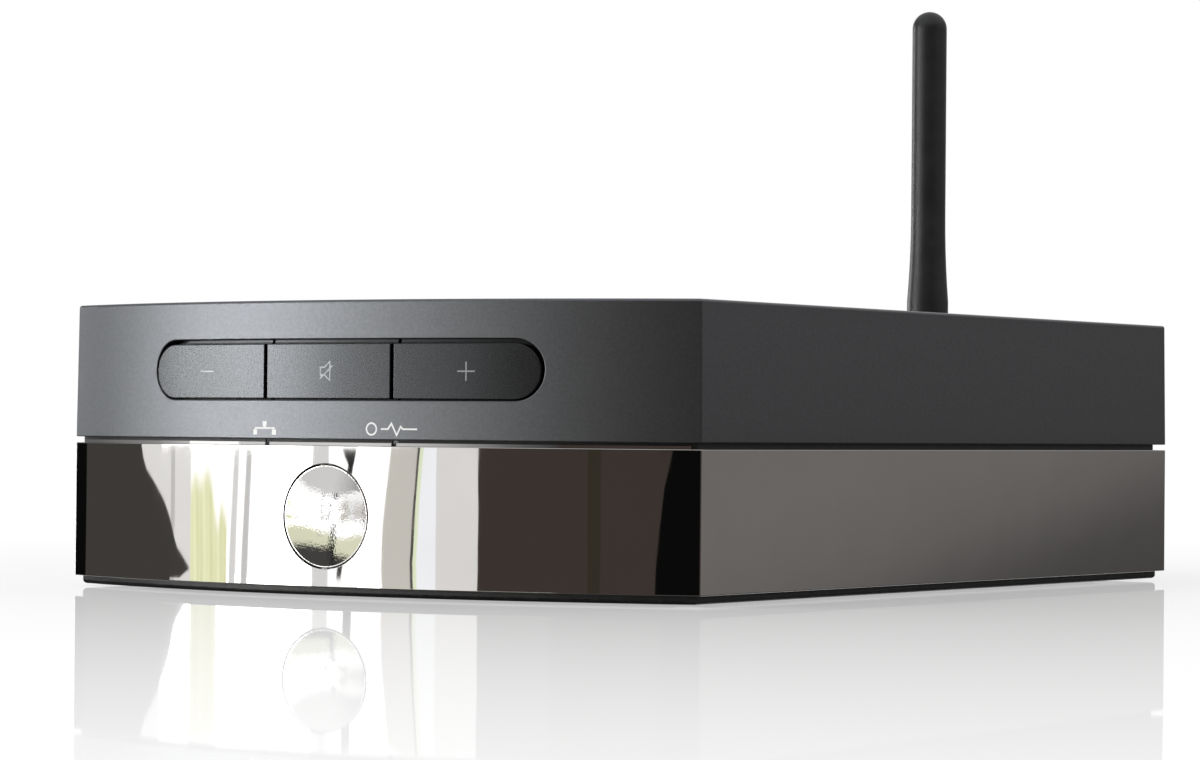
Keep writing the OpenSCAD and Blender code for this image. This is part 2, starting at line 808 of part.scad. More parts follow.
// Black rear panel with its cut-outs and vents
module rear_panel() color([0.1, 0.1, 0.1]) {
    high = top_z - top_t - fit_gap;
    difference() {
        translate([-panel_half, inside_y, plinth_h]) cube([2 * panel_half, panel_t, high - plinth_h]);
        panel_cut(net_x, board_top + net_h / 2, net_w, net_h);
        panel_cut(optical_x, optical_z, optical_w, optical_w);
        panel_cut(dc_x, dc_z, dc_w, dc_h);
        for (x = jack_xs) translate([x, 0, jack_z]) panel_bore(collar_d + 2 * fit_gap);
        translate([0, 0, antenna_z]) panel_bore(barrel_d + 2 * run_gap);
        for (side = [-1, 1])
            translate([side * panel_screw_x, 0, light_z]) panel_bore(small_screw_d + 2 * run_gap);
        for (side = [-1, 1], i = [0 : vent_n - 1])
            panel_cut(side * (vent_x + i * vent_pitch), antenna_z, vent_w, vent_h);
    }
}

// A rectangular cut in the rear panel, with room all round
module panel_cut(x, z, w, h) {
    cut_w = w + 2 * fit_gap;
    cut_h = h + 2 * fit_gap;
    translate([x - cut_w / 2, inside_y - past, z - cut_h / 2]) cube([cut_w, panel_t + 2 * past, cut_h]);
}

// A round hole in the rear panel
module panel_bore(d) bar_y(inside_y - past, panel_y + past, d);

// Four long screws that hold base plate, shells and frame together
module case_screws() color("silver") {
    at_posts()
        translate([0, 0, foot_out]) {
            cylinder(h = case_head_h, d1 = case_head_d, d2 = case_screw_d);
            cylinder(h = tongue_top + case_grip - foot_out, d = case_screw_d);
        }
}

// Two screws that hold the rear panel to the middle frame
module panel_screws() color([0.15, 0.15, 0.15]) {
    for (side = [-1, 1])
        translate([side * panel_screw_x, panel_y, light_z])
            rotate([90, 0, 0]) small_screw(panel_t + panel_screw_l - past);
}

// Keys and lights

module volume_down_key() color([0.2, 0.2, 0.2]) key(-1);
module mute_key() color([0.2, 0.2, 0.2]) key(0);
module volume_up_key() color([0.2, 0.2, 0.2]) key(1);

module key_plunger(place) {
    translate([place * key_pitch, 0, key_z]) plunger(key_stem_y, key_switch_y, key_travel);
}
module volume_down_plunger() color("dimgray") key_plunger(-1);
module mute_plunger() color("dimgray") key_plunger(0);
module volume_up_plunger() color("dimgray") key_plunger(1);

// Guide for the three key stems, with the tubes that carry the key board
module key_guide() color([0.12, 0.12, 0.12]) {
    stems = [for (place = [-1, 0, 1]) [place * key_pitch, 0, key_z - slot_z]];
    stem_guide(key_half, key_fix_x, slot_z, key_guide_y, key_board_y, stems, key_stem_d);
}

module key_switches() color("gray") {
    for (place = [-1, 0, 1]) translate([place * key_pitch, 0, key_z]) switch_body(key_switch_y);
}

module key_board() color("darkgreen") {
    difference() {
        translate([-key_half, key_board_y, key_board_low])
            cube([2 * key_half, board_t, key_board_high - key_board_low]);
        for (side = [-1, 1])
            translate([side * key_fix_x, 0, slot_z])
                bar_y(key_board_y - past, key_board_y + board_t + past, small_screw_d + 2 * run_gap);
    }
}

module key_screws() color("silver") stack_screws(key_fix_x, slot_z, key_board_y, key_guide_y);

// Two diodes on the key board, level with the groove
module indicator_diodes() color("white") {
    for (side = [-1, 1])
        translate([side * light_x - diode_w / 2, key_board_y - diode_t, light_z - diode_w / 2])
            cube([diode_w, diode_t, diode_w]);
}

// Two clear bars that carry the light to the groove
module light_guides() color("lightcyan") {
    start_y = front_at(light_x, groove_in) + fit_gap / 2;
    end_y = key_board_y - diode_t - fit_gap;
    light_h = groove_h - fit_gap;
    for (side = [-1, 1])
        translate([side * light_x - light_w / 2, start_y, light_z - light_h / 2])
            cube([light_w, end_y - start_y, light_h]);
}

// Power button

// Domed button with a flange behind the shell and a stem
module power_button() color([0.66, 0.64, 0.62]) {
    rim_y = tip_y + button_rim;
    dome_r = (button_d * button_d / 4 + button_dome * button_dome) / (2 * button_dome);
    flange_end = button_flange_y + button_flange_t;
    translate([0, 0, button_z]) {
        intersection() {
            bar_y(rim_y - button_dome - past, flange_end, button_d);
            translate([0, rim_y - button_dome + dome_r, 0]) sphere(r = dome_r, $fn = 180);
        }
        bar_y(button_flange_y, flange_end, button_flange_d);
        bar_y(button_flange_y, power_stem_y, button_stem_d);
    }
}

module power_plunger() color("dimgray") {
    translate([0, 0, button_z]) plunger(power_stem_y, power_switch_y, button_travel);
}

module power_guide() color([0.12, 0.12, 0.12]) {
    stem_guide(power_half, power_fix_x, button_z, power_guide_y, power_board_y, [[0, 0, 0]], button_stem_d);
}

module power_switch() color("gray") translate([0, 0, button_z]) switch_body(power_switch_y);

module power_board() color("darkgreen") {
    difference() {
        translate([-power_half, power_board_y, button_z - guide_h / 2])
            cube([2 * power_half, board_t, guide_h]);
        for (side = [-1, 1])
            translate([side * power_fix_x, 0, button_z])
                bar_y(power_board_y - past, power_board_y + board_t + past, small_screw_d + 2 * run_gap);
    }
}

module power_screws() color("silver") stack_screws(power_fix_x, button_z, power_board_y, power_guide_y);

// Main board and what is on it

// A flat chip on the main board, its middle dy ahead of the board's rear edge
module chip(x, dy, w, d, t) {
    translate([x - w / 2, board_rear - dy - d / 2, board_top]) cube([w, d, t]);
}

module main_board() color("darkgreen") {
    difference() {
        translate([-board_half, board_front, board_top - board_t])
            cube([2 * board_half, board_d, board_t]);
        at_stands()
            translate([0, 0, board_top - board_t - past])
                cylinder(h = board_t + 2 * past, d = small_screw_d + 2 * run_gap);
    }
}

module board_screws() color("silver") {
    at_stands() translate([0, 0, board_top]) rotate([180, 0, 0]) small_screw(board_t + stand_grip);
}

module processor() color([0.1, 0.1, 0.1]) {
    chip(optical_x, processor_back, processor_w, processor_w, processor_t);
}

// Finned heat sink on the processor
module heat_sink() color([0.3, 0.3, 0.32]) {
    step = (sink_w - fin_t) / (sink_fins - 1);
    translate([optical_x - sink_w / 2, processor_y - sink_w / 2, board_top + processor_t]) {
        cube([sink_w, sink_w, sink_base]);
        for (i = [0 : sink_fins - 1]) translate([i * step, 0, sink_base / 2]) cube([fin_t, sink_w, sink_h]);
    }
}

module memory_chips() color([0.1, 0.1, 0.1]) {
    for (side = [-1, 1])
        chip(optical_x + side * memory_pitch / 2, memory_back, memory_w, memory_d, memory_t);
}

// Wireless module with the little plug that the antenna's lead ends in
module wireless_module() color("silver") {
    translate([module_x - module_w / 2, module_y - module_d / 2, board_top])
        cube([module_w, module_d, module_t]);
    translate([module_x, module_y, board_top + module_t / 2])
        cylinder(h = module_t / 2 + plug_h, d = plug_d);
}

module audio_chips() color([0.1, 0.1, 0.1]) {
    chip(-board_half + audio_in, audio_back, audio_w, audio_w, audio_t);
    for (i = [0, 1]) chip(-board_half + amp_in + i * amp_pitch, amp_back, amp_w, amp_d, amp_t);
}

module capacitors() color("darkslateblue") {
    for (i = [0 : cap_n - 1])
        translate([-board_half + cap_in + i * cap_pitch, board_rear - cap_back, board_top])
            cylinder(h = cap_h, d = cap_d);
    for (i = [0, 1])
        translate([board_half - big_cap_in, board_rear - big_cap_back - i * big_cap_pitch, board_top])
            cylinder(h = big_cap_h, d = big_cap_d);
}

module inductors() color([0.2, 0.2, 0.2]) {
    for (i = [0, 1]) chip(board_half - coil_in, coil_back + i * coil_pitch, coil_w, coil_w, coil_t);
}

// Four sockets for the two flat cables
module ribbon_sockets() color("ivory") {
    for (x = [key_ribbon_x, power_ribbon_x])
        translate([x - ribbon_socket_w / 2, board_front + ribbon_in, board_top])
            cube([ribbon_socket_w, ribbon_socket_d, ribbon_socket_t]);
    ribbon_board_socket(key_ribbon_x, key_board_y, key_ribbon_z);
    ribbon_board_socket(power_ribbon_x, power_board_y, power_ribbon_z);
}

// A cable's socket on the rear of an upright board
module ribbon_board_socket(x, board_y, z) {
    translate([x - ribbon_socket_w / 2, board_y + board_t, z - ribbon_socket_t / 2])
        cube([ribbon_socket_w, ribbon_socket_d, ribbon_socket_t]);
}

module key_ribbon() color("white") {
    start_y = key_board_y + board_t + ribbon_socket_d;
    translate([key_ribbon_x, 0, 0]) ribbon(ribbon_curve(start_y, key_ribbon_z));
}

module power_ribbon() color("white") {
    start_y = power_board_y + board_t + ribbon_socket_d;
    translate([power_ribbon_x, 0, 0]) ribbon(ribbon_curve(start_y, power_ribbon_z));
}

// Thin lead from the antenna's socket down to the wireless module
module antenna_lead() color([0.15, 0.15, 0.15]) {
    start = [0, inside_y - nut_t - socket_tail, antenna_z];
    end = [module_x, module_y, board_top + module_t + plug_h];
    points = [start, start + [0, -lead_reach, 0], end + [0, 0, lead_drop], end];
    ts = [for (i = [0 : lead_steps]) i / lead_steps];
    rings = [for (t = ts) lead_ring(bezier(points, t), bezier_way(points, t))];
    last = lead_steps * lead_sides;
    walls = [
        for (i = [0 : lead_steps - 1], j = [0 : lead_sides - 1])
            let (a = i * lead_sides + j, b = i * lead_sides + (j + 1) % lead_sides)
            each [[a, a + lead_sides, b], [b, a + lead_sides, b + lead_sides]]
    ];
    head = [for (j = [1 : lead_sides - 2]) [0, j, j + 1]];
    tail = [for (j = [1 : lead_sides - 2]) [last, last + j + 1, last + j]];
    polyhedron([for (ring = rings) each ring], concat(walls, head, tail));
}

// A ring of points round a lead, square to its way
function lead_ring(centre, way) =
    let (side = cross(way, [1, 0, 0]) / norm(cross(way, [1, 0, 0])), over = cross(way, side))
    [
        for (j = [0 : lead_sides - 1])
            let (a = 360 * j / lead_sides)
            centre + lead_d / 2 * (cos(a) * side + sin(a) * over)
    ];

// Antenna

// Six-sided nut along Y, from y0 to y1
module hex_y(y0, y1, flats) {
    translate([0, y0, 0]) rotate([-90, 0, 0]) cylinder(h = y1 - y0, d = flats / cos(30), $fn = 6);
}

// Threaded socket through the rear panel, with a six-sided shoulder inside
module antenna_socket() color("gold") {
    translate([0, 0, antenna_z]) {
        bar_y(inside_y - nut_t, barrel_end_y, barrel_d);
        hex_y(inside_y - nut_t, inside_y, nut_w);
        bar_y(inside_y - nut_t - socket_tail, inside_y - nut_t / 2, neck_d);
    }
}

module antenna_nut() color("gold") {
    translate([0, 0, antenna_z])
        difference() {
            hex_y(panel_y, panel_y + nut_t, nut_w);
            bar_y(panel_y - past, panel_y + nut_t + past, barrel_d + 2 * run_gap);
        }
}

// Knurled coupling, screwed tight on the socket
module antenna_coupling() color([0.1, 0.1, 0.1]) {
    translate([0, 0, antenna_z])
        difference() {
            bar_y(coupling_y, coupling_end_y, coupling_d);
            bar_y(coupling_y - past, coupling_wall_y, barrel_d + 2 * run_gap);
            bar_y(coupling_y - past, coupling_end_y + past, neck_d + 2 * run_gap);
            for (i = [0 : knurl_n - 1])
                rotate([0, i * 360 / knurl_n, 0])
                    translate([coupling_d / 2, 0, 0]) bar_y(coupling_y - past, coupling_wall_y, knurl_d);
        }
}

// Forked knuckle that turns in the coupling
module antenna_knuckle() color([0.1, 0.1, 0.1]) {
    slot_half = tongue_w / 2 + move_gap / 2;
    slot_y = hinge_y - tongue_r - move_gap;
    neck_head_y = barrel_end_y + move_gap;
    translate([0, 0, antenna_z]) {
        difference() {
            intersection() {
                bar_y(knuckle_y, hinge_y + knuckle_d, knuckle_d);
                union() {
                    translate([-knuckle_d, knuckle_y, -knuckle_d])
                        cube([2 * knuckle_d, hinge_y - knuckle_y, 2 * knuckle_d]);
                    translate([0, hinge_y, 0]) bar_x(2 * knuckle_d, knuckle_d);
                }
            }
            translate([-slot_half, slot_y, -knuckle_d]) cube([2 * slot_half, 2 * knuckle_d, 2 * knuckle_d]);
            translate([0, hinge_y, 0]) bar_x(2 * knuckle_d, pin_d + 2 * run_gap);
        }
        bar_y(neck_head_y, knuckle_y + past, neck_d);
        bar_y(neck_head_y, neck_head_y + neck_head_t, barrel_d - 2 * fit_gap);
    }
}

module antenna_pin() color("silver") {
    translate([0, hinge_y, antenna_z]) bar_x(knuckle_d - 2 * move_gap, pin_d);
}

// Mast: a tongue in the knuckle, a straight foot, a flare and a round tip
module antenna_mast() color([0.08, 0.08, 0.08]) {
    tip_r = mast_d / 2;
    translate([0, hinge_y, antenna_z])
        difference() {
            union() {
                bar_x(tongue_w, 2 * tongue_r);
                translate([-tongue_w / 2, -tongue_r, 0]) cube([tongue_w, 2 * tongue_r, mast_foot_z + past]);
                rotate_extrude() {
                    difference() {
                        translate([0, mast_foot_z])
                            square([mast_foot_d / 2, flare_l - mast_foot_z]);
                        translate([tip_r + flare_r, flare_l]) circle(r = flare_r, $fn = 360);
                    }
                    translate([0, flare_l - past]) square([tip_r, mast_l - tip_r - flare_l + past]);
                    intersection() {
                        translate([0, mast_l - tip_r]) circle(r = tip_r);
                        translate([0, mast_l - tip_r - past]) square([tip_r, tip_r + 2 * past]);
                    }
                }
            }
            bar_x(2 * tongue_w, pin_d + 2 * run_gap);
            translate([0, 0, element_foot])
                cylinder(h = element_top - element_foot, d = element_d + 2 * run_gap);
        }
}

// Radiating wire, sealed in the mast
module antenna_element() color("orange") {
    translate([0, hinge_y, antenna_z + element_foot])
        cylinder(h = element_top - element_foot - fit_gap, d = element_d);
}

// Rear sockets

module network_socket() color("silver") {
    mouth_y = panel_y + socket_out - mouth_d;
    difference() {
        translate([net_x - net_w / 2, panel_y + socket_out - net_d, board_top])
            cube([net_w, net_d, net_h]);
        translate([net_x - net_mouth_w / 2, mouth_y, net_mouth_z])
            cube([net_mouth_w, mouth_d + past, net_mouth_h]);
        translate([net_x - latch_w / 2, mouth_y, net_mouth_z])
            cube([latch_w, mouth_d + past, net_mouth_h + latch_h]);
    }
}

// Eight contacts on the floor of the network socket
module network_contacts() color("gold") {
    for (i = [0 : contact_n - 1])
        translate([
            net_x + (i - (contact_n - 1) / 2) * contact_pitch - contact_w / 2,
            panel_y + socket_out - mouth_d,
            net_mouth_z
        ])
            cube([contact_w, mouth_d - contact_in, contact_w]);
}

module optical_socket() color([0.08, 0.08, 0.08]) {
    front_y = panel_y + socket_out;
    difference() {
        translate([optical_x - optical_w / 2, front_y - optical_d, board_top])
            cube([optical_w, optical_d, optical_w]);
        translate([optical_x - optical_mouth / 2, front_y - optical_mouth_d, optical_z - optical_mouth / 2])
            cube([optical_mouth, optical_mouth_d + past, optical_mouth]);
        translate([optical_x, shutter_y, shutter_z])
            bar_x(optical_mouth + 2 * shutter_pin_l, shutter_pin_d + 2 * run_gap);
    }
}

// Sprung flap that a plug pushes inward
module optical_shutter() color([0.15, 0.15, 0.15]) {
    w = optical_mouth - 2 * shutter_gap;
    h = shutter_z - (optical_z - optical_mouth / 2) - shutter_gap;
    translate([optical_x, shutter_y, shutter_z]) {
        translate([-w / 2, -shutter_t / 2, -h]) cube([w, shutter_t, h]);
        bar_x(optical_mouth + 2 * shutter_pin_l - 2 * run_gap, shutter_pin_d);
    }
}

module power_socket() color([0.08, 0.08, 0.08]) {
    front_y = panel_y + socket_out;
    difference() {
        translate([dc_x - dc_w / 2, front_y - dc_d, board_top]) cube([dc_w, dc_d, dc_h]);
        translate([dc_x, 0, dc_z]) bar_y(front_y - dc_bore_d, front_y + past, dc_bore);
    }
}

module power_socket_pin() color("silver") {
    front_y = panel_y + socket_out;
    translate([dc_x, 0, dc_z]) bar_y(front_y - dc_bore_d, front_y - past, dc_pin_d);
}

// Blocks behind the rear panel that carry the phono jacks
module jack_blocks() color([0.08, 0.08, 0.08]) {
    for (x = jack_xs)
        translate([x - block_w / 2, inside_y - block_d, board_top]) cube([block_w, block_d, block_h]);
}

// Plated collars: a neck through the panel, then the length that a plug grips
module jack_collars() color("gold") {
    for (x = jack_xs)
        translate([x, 0, jack_z])
            difference() {
                union() {
                    bar_y(inside_y, panel_y + collar_l / 2, collar_d - 2 * fit_gap);
                    bar_y(panel_y + fit_gap, panel_y + collar_l, collar_d);
                }
                bar_y(inside_y - past, panel_y + collar_l + past, collar_d - 2 * collar_t);
            }
}

// The plastic inside a collar, with the hole for the plug's pin
module insulator(x) {
    end_y = panel_y + collar_l - insulator_in;
    translate([x, 0, jack_z])
        difference() {
            bar_y(inside_y, end_y, collar_d - 2 * collar_t - 2 * run_gap);
            bar_y(inside_y + panel_t, end_y + past, contact_d);
        }
}

module right_insulator() color("firebrick") insulator(jack_xs[0]);
module left_insulator() color("white") insulator(jack_xs[1]);
module digital_insulator() color("darkorange") insulator(jack_xs[2]);

base_plate();
rubber_feet();
lower_shell();
middle_frame();
upper_shell();
rear_panel();
case_screws();
panel_screws();
volume_down_key();
mute_key();
volume_up_key();
volume_down_plunger();
mute_plunger();
volume_up_plunger();
key_guide();
key_switches();
key_board();
key_screws();
indicator_diodes();
light_guides();
power_button();
power_plunger();
power_guide();
power_switch();
power_board();
power_screws();
main_board();
board_screws();
processor();
heat_sink();
memory_chips();
wireless_module();
audio_chips();
capacitors();
inductors();
ribbon_sockets();
key_ribbon();
power_ribbon();
antenna_lead();
antenna_socket();
antenna_nut();
antenna_coupling();
antenna_knuckle();
antenna_pin();
antenna_mast();
antenna_element();
network_socket();
network_contacts();
optical_socket();
optical_shutter();
power_socket();
power_socket_pin();
jack_blocks();
jack_collars();
left_insulator();
right_insulator();
digital_insulator();
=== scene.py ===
# %% [markdown]
# A network music streamer: a bowed case in two storeys, grey above and mirror-bright below, with three
# keys, a domed power button and a folding antenna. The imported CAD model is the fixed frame: it says where
# every piece is and how it moves. This lesson gives the pieces their finish, and it models the shells, the
# keys and the button again where a mirror or a soft sheen would show the flats of a coarse mesh.

# %% load the frame
import json
import math

import bpy
from mathutils import Matrix, Vector


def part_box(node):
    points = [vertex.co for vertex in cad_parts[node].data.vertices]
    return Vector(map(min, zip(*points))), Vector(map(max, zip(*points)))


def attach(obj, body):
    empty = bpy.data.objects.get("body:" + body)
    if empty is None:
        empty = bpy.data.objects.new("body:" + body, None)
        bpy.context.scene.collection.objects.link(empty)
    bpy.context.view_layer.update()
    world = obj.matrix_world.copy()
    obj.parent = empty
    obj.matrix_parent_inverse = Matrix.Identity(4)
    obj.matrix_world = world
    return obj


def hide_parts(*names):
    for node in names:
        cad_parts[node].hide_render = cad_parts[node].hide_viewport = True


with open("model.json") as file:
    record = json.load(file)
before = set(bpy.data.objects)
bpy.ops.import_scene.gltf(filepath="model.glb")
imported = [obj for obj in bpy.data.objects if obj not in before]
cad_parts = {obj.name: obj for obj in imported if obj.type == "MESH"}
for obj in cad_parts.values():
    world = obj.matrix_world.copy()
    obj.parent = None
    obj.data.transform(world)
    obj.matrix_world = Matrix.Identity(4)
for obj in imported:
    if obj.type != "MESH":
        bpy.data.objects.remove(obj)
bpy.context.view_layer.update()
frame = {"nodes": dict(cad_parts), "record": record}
scene = bpy.context.scene
MM = 0.001

# %% [markdown]
# The camera comes first, because every later choice is judged through it. Its place was found by fitting
# the case's edges to the photograph: a long lens from the front right, a little above the table and almost
# level, so that upright edges stay upright. The small roll is the photographer's own. A matrix of the
# camera's right, up and back directions is plainer than three angles whose order has to be remembered.

# %% camera
CAMERA_PLACE = Vector((0.48956, -0.77977, 0.03398))
CAMERA_YAW = math.radians(33.029)
CAMERA_PITCH = math.radians(0.677)
CAMERA_ROLL = math.radians(0.507)
CAMERA_LENS = 123.8
SENSOR_WIDTH = 36.0
CLIP_NEAR = 0.05
CLIP_FAR = 50.0


def put(name, data):
    """A new object in the scene."""
    made = bpy.data.objects.new(name, data)
    scene.collection.objects.link(made)
    return made


ahead = Vector((
    -math.sin(CAMERA_YAW) * math.cos(CAMERA_PITCH),
    math.cos(CAMERA_YAW) * math.cos(CAMERA_PITCH),
    math.sin(CAMERA_PITCH),
))
level_right = Vector((math.cos(CAMERA_YAW), math.sin(CAMERA_YAW), 0))
level_up = level_right.cross(ahead)
camera_right = math.cos(CAMERA_ROLL) * level_right + math.sin(CAMERA_ROLL) * level_up
camera_up = math.cos(CAMERA_ROLL) * level_up - math.sin(CAMERA_ROLL) * level_right

lens = bpy.data.cameras.new("camera")
lens.lens = CAMERA_LENS
lens.sensor_width = SENSOR_WIDTH
lens.clip_start = CLIP_NEAR
lens.clip_end = CLIP_FAR
camera = put("camera", lens)
camera.location = CAMERA_PLACE
camera.rotation_mode = "QUATERNION"
camera.rotation_quaternion = Matrix((camera_right, camera_up, -ahead)).transposed().to_quaternion()
scene.camera = camera
print("camera", [round(c, 3) for c in camera.location], "lens", CAMERA_LENS)

# %% [markdown]
# The case's plan is needed by every shell and key: two straight sides and a front that bows out on one
# large circle. The sizes are read from the frame, so the dressed shells lie on the solids. The bow's
# radius follows from the width and from how far the middle stands ahead of the corners.

# %% measure the case
TOUCH = 1e-6

lower_low, lower_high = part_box("lower_shell")
upper_low, upper_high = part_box("upper_shell")
half_w = lower_high.x
rear_y = lower_high.y
tip_y = lower_low.y
side_ys = [v.co.y for v in frame["nodes"]["lower_shell"].data.vertices if v.co.x > half_w - TOUCH]
corner_y = min(side_ys)
bow = corner_y - tip_y
bow_r = (half_w ** 2 + bow ** 2) / (2 * bow)
bow_y = tip_y + bow_r
print("case", round(2 * half_w / MM, 2), "wide, bow", round(bow / MM, 2), "radius", round(bow_r / MM, 2))

# %% [markdown]
# A mirror shows every fault of its normals, so the shells get normals that are worked out and not
# averaged from faces. Skin collects points together with the way the surface faces there, then makes one
# closed mesh whose corners carry those ways. A face may be given ways of its own where an edge is sharp.
# Faces that wind the wrong way round are turned by comparing them with the ways they carry.

# %% a mesh that carries its own normals
class Skin:
    """Points with the way the surface faces there, and the faces between them."""

    def __init__(self):
        self.points = []
        self.ways = []
        self.faces = []

    def point(self, place, way):
        self.points.append(Vector(place))
        self.ways.append(Vector(way).normalized())
        return len(self.points) - 1

    def face(self, corners, ways=None, facing=None):
        if facing is not None:
            ways = [Vector(facing)] * len(corners)
        if ways is None:
            ways = [self.ways[c] for c in corners]
        kept = [(c, w) for i, (c, w) in enumerate(zip(corners, ways)) if c != corners[i - 1]]
        if len(kept) > 2:
            self.faces.append(kept)

    def strip(self, first, second, closed=False, facing=None, ways=None):
        """Faces between two rows of as many points; ways are one list for both rows."""
        count = len(first)
        for i in range(count if closed else count - 1):
            j = (i + 1) % count
            own = ways and [ways[i], ways[j], ways[j], ways[i]]
            self.face((first[i], first[j], second[j], second[i]), own, facing)

    def make(self, name):
        used = sorted({c for face in self.faces for c, _ in face})
        number = {c: i for i, c in enumerate(used)}
        corners_of = []
        ways_of = []
        for face in self.faces:
            spots = [self.points[c] for c, _ in face]
            area = sum((a.cross(b) for a, b in zip(spots, spots[1:] + spots[:1])), Vector())
            mean = sum((w for _, w in face), Vector())
            ordered = face if area.dot(mean) >= 0 else face[::-1]
            corners_of.append([number[c] for c, _ in ordered])
            ways_of.extend(w for _, w in ordered)
        mesh = bpy.data.meshes.new(name)
        mesh.from_pydata([self.points[c] for c in used], [], corners_of)
        mesh.shade_smooth()
        mesh.normals_split_custom_set(ways_of)
        print("made", name, len(used), "points", len(self.faces), "faces")
        return put(name, mesh)


ROUNDING = 1e-9


def spread(start, end, step):
    """Evenly spaced values from start to end, about step apart."""
    count = max(1, math.ceil(abs(end - start) / step - ROUNDING))
    return [start + (end - start) * i / count for i in range(count + 1)]


# %% [markdown]
# A column is a place along the plan: on a side, in the small rounding of a front corner, or on the bow.
# The same columns serve the outer and the inner face of a wall, because each can be set in by any inset.
# A level is a place on the wall's upright section: an inset, a height and the way the wall faces there.

# %% plan and section of a wall
CORNER_R = 0.5 * MM
SHARP_R = 0.02 * MM
SIDE_STEP = 12 * MM
FRONT_STEP = 2.4 * MM
ROUND_STEPS = 4
QUARTER_TURN = spread(0, math.pi / 2, math.pi / 2 / ROUND_STEPS)


def bow_end(inset):
    """The bow's half angle where a corner's rounding starts, then that rounding's radius and centre."""
    r = max(CORNER_R - inset, SHARP_R)
    x = half_w - inset - r
    reach = bow_r - inset - r
    angle = math.asin(x / reach)
    return angle, r, x, bow_y - reach * math.cos(angle)


def plan_spot(column, inset):
    """A column's place on the plan, set in by inset, and the way the wall faces there."""
    kind, side, t = column
    angle, r, x, y = bow_end(inset)
    if kind == "front":
        way = Vector((math.sin(t * angle), -math.cos(t * angle)))
        return Vector((0, bow_y)) + (bow_r - inset) * way, way
    if kind == "corner":
        a = angle + t * (math.pi / 2 - angle)
        way = Vector((side * math.sin(a), -math.cos(a)))
        return Vector((side * x, y)) + r * way, way
    return Vector((side * (half_w - inset), y + t * (rear_y - y))), Vector((side, 0))


def case_columns(fine_half, fine_step):
    """Columns from the left rear round the front to the right rear, and the span of the fine ones."""
    angle = bow_end(0)[0]
    fine_end = math.asin(fine_half / bow_r) / angle
    fine = spread(-fine_end, fine_end, fine_step / half_w)
    coarse = spread(fine_end, 1, FRONT_STEP / half_w)[1:]
    corners = spread(0, 1, 1 / ROUND_STEPS)[1:]
    sides = spread(0, 1, SIDE_STEP / (rear_y - corner_y))[1:]
    left = [("side", -1, t) for t in sides[::-1]] + [("corner", -1, t) for t in corners[::-1]]
    left += [("front", 0, -t) for t in coarse[::-1]]
    right = [("front", 0, t) for t in coarse]
    right += [("corner", 1, t) for t in corners] + [("side", 1, t) for t in sides]
    return left + [("front", 0, t) for t in fine] + right, len(left), len(left) + len(fine) - 1


def wall_rows(skin, columns, levels):
    """A row of points along the columns for each level (inset, height, out, up)."""
    rows = []
    for inset, z, out, up in levels:
        spots = [plan_spot(column, inset) for column in columns]
        rows.append([skin.point((s.x, s.y, z), (w.x * out, w.y * out, up)) for s, w in spots])
    return rows


def round_levels(inset, z, r, start, end):
    """Levels round an edge whose centre lies at inset and z, from one angle to another in degrees."""
    angles = [math.radians(a) for a in spread(start, end, abs(end - start) / ROUND_STEPS)]
    return [(inset - r * math.cos(a), z + r * math.sin(a), math.cos(a), math.sin(a)) for a in angles]


def fill_rows(skin, rows, free_rows=(), free_columns=()):
    """Faces between all rows, apart from a free box of rows and columns."""
    for r in range(len(rows) - 1):
        for c in range(len(rows[r]) - 1):
            if not (r in free_rows and c in free_columns):
                skin.face((rows[r][c], rows[r][c + 1], rows[r + 1][c + 1], rows[r + 1][c]))


# %% [markdown]
# A hole in a wall could be cut with a boolean, but the cut leaves long thin faces beside the hole and
# ruins the mirror there. So the wall's grid leaves a box free, and a ring of faces runs from that box in
# to the hole's outline, round the outer lip, through the wall and round the inner lip.

# %% a hole in a wall
RING_SHARES = (0.6, 0.3)


def front_way(x, inset, out, side=(0, 0)):
    """A place on the bow at x, and a way there: out of the wall, with side = (x, z) along it."""
    reach = bow_r - inset
    wall = Vector((x / reach, -math.sqrt(1 - (x / reach) ** 2), 0))
    spot = Vector((0, bow_y, 0)) + reach * wall
    return spot, wall * out + Vector((-wall.y * side[0], wall.x * side[0], side[1]))


def front_point(skin, x, z, inset, out, side=(0, 0)):
    """A point on the bow at x and z, set in by inset."""
    spot, way = front_way(x, inset, out, side)
    return skin.point(spot + Vector((0, 0, z)), way)


def box_loop(rows, first, last):
    """The points round a box of rows between two columns, starting at its lower left corner."""
    right = [row[last] for row in rows[:-1]]
    left = [row[first] for row in rows[:0:-1]]
    return rows[0][first:last] + right + rows[-1][last:first:-1] + left


def slot_edge(x, z, half_l, r, mid_z):
    """The nearest place on a round-ended slot, and its outward way; half_l is 0 for a round hole."""
    centre = max(-half_l, min(half_l, x))
    way = Vector((x - centre, z - mid_z)).normalized()
    return Vector((centre, mid_z)) + r * way, way


